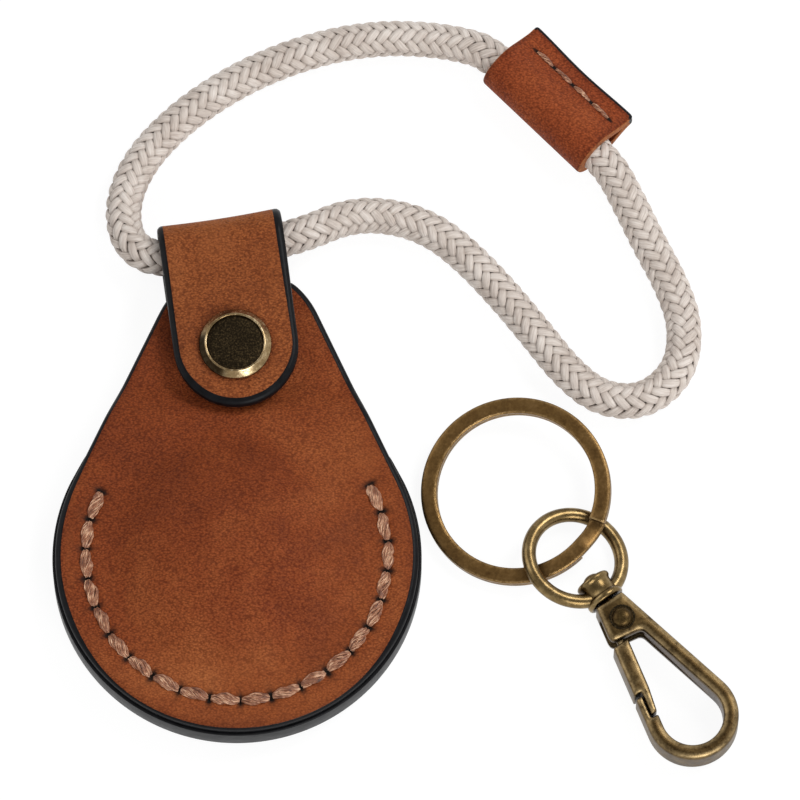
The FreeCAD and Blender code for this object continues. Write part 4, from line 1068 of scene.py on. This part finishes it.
# Turned outlines: the rivet's washer and head as radius and height, the eye's collar as radius and place.
RIVET_HEAD = ((1.8, -0.05), (1.8, 0.02), (1.66, 0.04), (1.55, 0.02), (1.42, -0.02), (1.4, 0.1), (1.32, 0.3),
              (1.1, 0.5), (0.75, 0.64), (0.38, 0.7), (0.02, 0.71))
RIVET_SIDES, WASHER_ROWS = 48, 5
EYE_COLLAR = ((1.05, -4.05), (1.75, -4.1), (2.1, -4.12), (2.35, -4.06), (2.5, -3.9), (2.54, -3.68),
              (2.48, -3.46), (2.34, -3.3), (2.24, -3.0), (2.22, -2.2), (2.26, -1.6), (2.38, -1.34),
              (2.58, -1.24), (2.7, -1.1), (2.75, -0.85), (2.72, -0.55), (2.6, -0.38), (2.4, -0.3),
              (1.05, -0.3))
EYE_ENDS = 1.9  # from the middle line to where the wire ends in the collar


def on_clasp(x, y, z, roll=0.0):
    y, z = turned(y, z, roll)
    x, y = turned(x, y, CLASP_TURN)
    return CLASP[0] + x, CLASP[1] + y, CLASP[2] + z


def flank(s, inset_by=0.0):
    """Half the clasp's width at distance s from its shoulder."""
    return (HOOK_R - inset_by - (HOOK_MID - s) * sin(HOOK_LEAN)) / cos(HOOK_LEAN)


def rail(s, inset_by=0.0):
    """A place on the gate's side of the clasp."""
    return s, -flank(s, inset_by)


def crest_mark(x, y, d, top):
    """Bright along the rounded edges."""
    return 0.75 * exp(-((d - 0.34) / 0.22) ** 2)


def hook_loop(head):
    """Outline of the hook, counter-clockwise, with the given corners of its head."""
    turn = pi / 2 + HOOK_LEAN
    outside = arc(HOOK_MID, 0, HOOK_R, -turn, turn, 0.3)
    within = arc(HOOK_MID, 0, HOOK_R - HOOK_BAR, turn, -turn, 0.3)
    lap = HOOK_BAR / 2
    tip = [rail(17.2, HOOK_BAR), rail(17.2, lap), rail(13.85, lap), rail(13.85)]
    return outside + [(0, flank(0))] + head + within + tip


def in_loop(x, y):
    """1 on the wall round the inside of the hook, 0 on the outside."""
    if x > HOOK_MID:
        return int(hypot(x - HOOK_MID, y) < HOOK_R - HOOK_BAR / 2)
    return int(6.0 < x and abs(y) < flank(x, HOOK_BAR / 2))


def layer(name, loop, low, high, rim, body, nodes=()):
    """A flat part of the clasp between two heights, with painted shade on the wall inside the hook."""
    return slab(name, evenly(loop, 0.22, 1), 0.7, high - low, rim, lambda x, y, n: on_clasp(x, y, low + n),
                body, "antique_brass", (CAST, WALL), nodes, (), lambda x, y: 0.25,
                {"crest": crest_mark}, lambda x, y: 0, in_loop)


def clasp():
    """Two cheeks with the gate's slot between them, and the gate with its lip and knuckle."""
    cheek = [rail(0), rail(4.4), (5.0, -flank(5.0) + 0.18), (5.4, -flank(5.4) + 0.62),
             (5.5, -flank(5.5) + 1.3), (6.0, 1.0), (6.4, flank(6.4, HOOK_BAR))]
    back_wall = [rail(0), rail(1.45), (1.45, 1.75), (6.2, 1.58)]
    top, slot = CLASP_THICK / 2, SLOT_HIGH / 2
    round_by = 0.8
    layer("hook_upper", hook_loop(cheek), slot, top, (0, round_by), "clasp", ("clasp_hook",))
    layer("hook_middle", hook_loop(back_wall), -slot, slot, (0, 0), "clasp")
    layer("hook_lower", hook_loop(cheek), -top, -slot, (round_by, 0), "clasp")
    lap = HOOK_BAR / 2 + 0.1
    bar = [rail(6.1), rail(13.4), rail(13.4, lap), rail(16.85, lap), rail(16.85, HOOK_BAR), rail(13.4, 2.4),
           rail(6.1, 2.4)]
    layer("gate_bar", bar, -top, top, (0.6, 0.6), "gate", ("clasp_gate",))
    root = arc(PIVOT, 0, 1.55, radians(60), radians(240), 0.3)
    root += [rail(5.2, 0.9), rail(6.6, 0.9), rail(6.6, 1.5), rail(5.2, 1.9)]
    layer("gate_knuckle", root, 0.05, 1.25, (0.05, 0.05), "gate")

    at = on_clasp(PIVOT, 0, top)
    head, faces = lathe(RIVET_HEAD, at, RIVET_SIDES)
    pin, pin_faces = lathe(((0.8, -top - 2.6), (0.8, 0.0)), at, 32)
    faces += [tuple(k + len(head) for k in face) for face in pin_faces]
    # The washer rows take the dark disc brass, as painted shade in the groove round the head.
    picks = [int(k < WASHER_ROWS * RIVET_SIDES) for k in range(len(faces))]
    piece("gate_rivet_head", head + pin, faces, "clasp", "antique_brass", (DARK, DISC), ("gate_rivet",),
          picks)


def swivel_eye():
    """Round wire whose ends run into a collar with a rolled lip and a flange."""
    around, ring, spots = 56, 20, 120
    verts = [on_clasp(x, *turned(r, 0, a), EYE_TILT) for r, x in EYE_COLLAR for a in circle(around)]
    faces = quads(0, len(EYE_COLLAR), around, closed=True, flip=True)
    base, ends = len(verts), asin(EYE_ENDS / EYE_R)
    for a in span(ends, TAU - ends, spots):
        for b in circle(ring):
            x, y = turned(EYE_R + EYE_WIRE * cos(b), 0, a)
            verts.append(on_clasp(x - EYE_BACK, y, EYE_WIRE * sin(b), EYE_TILT))
    faces += quads(base, spots + 1, ring, flip=True) + caps(base, spots + 1, ring, flip=True)
    piece("swivel_eye_wire", verts, faces, "eye", "antique_brass", (EYE_BRASS,), ("swivel_eye",))


# Stage

WHITE = (1.0, 1.0, 1.0, 1.0)
MIDDLE = Vector((0.02, 0.02, 0.0))  # metres: what the lamps point at


def background_rays(s):
    """1 for rays from the camera, a mirror or glass."""
    found = s.node("LightPath", out="Is Camera Ray")
    for kind in ("Is Glossy Ray", "Is Transmission Ray"):
        found = s.node("Math", {0: found, 1: s.node("LightPath", out=kind)}, operation="MAXIMUM")
    return found


def stage():
    """White floor and sky, brighter for the camera than for the light they give, and three lamps."""
    bpy.ops.mesh.primitive_plane_add(size=6.0, location=(0.02, 0.02, -0.00012))
    floor = bpy.context.object
    floor.name = "floor"
    s = Shade("floor_white", Base_Color=(0.92, 0.92, 0.92, 1.0), Roughness=0.9, Specular_IOR_Level=0.1)
    glow = s.node("Emission", {"Color": WHITE, "Strength": 1.08})
    s.show("Material Output", s.times(background_rays(s), 0.85), s.shader.outputs[0], glow)
    floor.data.materials.append(s.material)

    world = bpy.context.scene.world or bpy.data.worlds.new("studio")
    bpy.context.scene.world = world
    world.use_nodes = True
    s = Nodes(world.node_tree)
    up = s.node("SeparateXYZ", {0: s.node("TexCoord", out="Generated")}, out="Z")
    soft = s.node("Background", {"Color": WHITE, "Strength": 0.3})
    fade = s.ramp(up, (0.1, WHITE), (0.9, (0.4, 0.4, 0.4, 1.0)))
    clear = s.node("Background", {"Color": fade, "Strength": 1.0})
    s.show("World Output", background_rays(s), soft, clear)

    lamps = (("key", (0.42, 0.32, 0.62), 0.36, 2.7), ("fill", (-0.5, 0.2, 0.5), 0.5, 0.9),
             ("front", (0.3, -0.55, 0.42), 0.36, 2.4))
    for name, at, size, power in lamps:
        data = bpy.data.lights.new(name, "AREA")
        data.shape, data.size, data.energy = "DISK", size, power
        made = added(name, data)
        made.location = at
        made.rotation_euler = (MIDDLE - Vector(at)).to_track_quat("-Z", "Y").to_euler()


PX_PER_MM, PICTURE = 7.2, 800
LENS, SENSOR = 500.0, 36.0
LIFT, AIM = radians(73.0), (22.5, 23.53, 3.0)


def camera():
    """Looks down from the lower side, with a long lens."""
    data = bpy.data.cameras.new("camera")
    data.lens, data.sensor_width = LENS, SENSOR
    made = added("camera", data)
    back = Vector((0, -cos(LIFT), sin(LIFT)))
    made.location = Vector(AIM) * MM + back * (PICTURE / PX_PER_MM * MM * LENS / SENSOR)
    made.rotation_mode = "QUATERNION"
    made.rotation_quaternion = (-back).to_track_quat("-Z", "Y")
    data.clip_start, data.clip_end = 0.01, 20.0
    bpy.context.scene.camera = made


bpy.context.scene.view_settings.view_transform = "Standard"
camera()
braid, braid_line = cord()
on_cord = sleeve()
tuple(braid_line[0])
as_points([tuple(p) for p in braid_line[::4]] + [tuple(braid_line[-1])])
front()
back()
welt()
seam()
snap_cap()
key_ring()
clasp()
swivel_eye()
# Nodes of the frame that show as they are.
for node, material in (("snap_socket", BRASS), ("snap_stud", BRASS), ("snap_post", BRASS),
                       ("snap_springs", STEEL), ("gate_spring", STEEL), ("swivel_rivet", BRASS)):
    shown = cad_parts[node].data.materials
    shown.clear()
    shown.append(material)
stage()
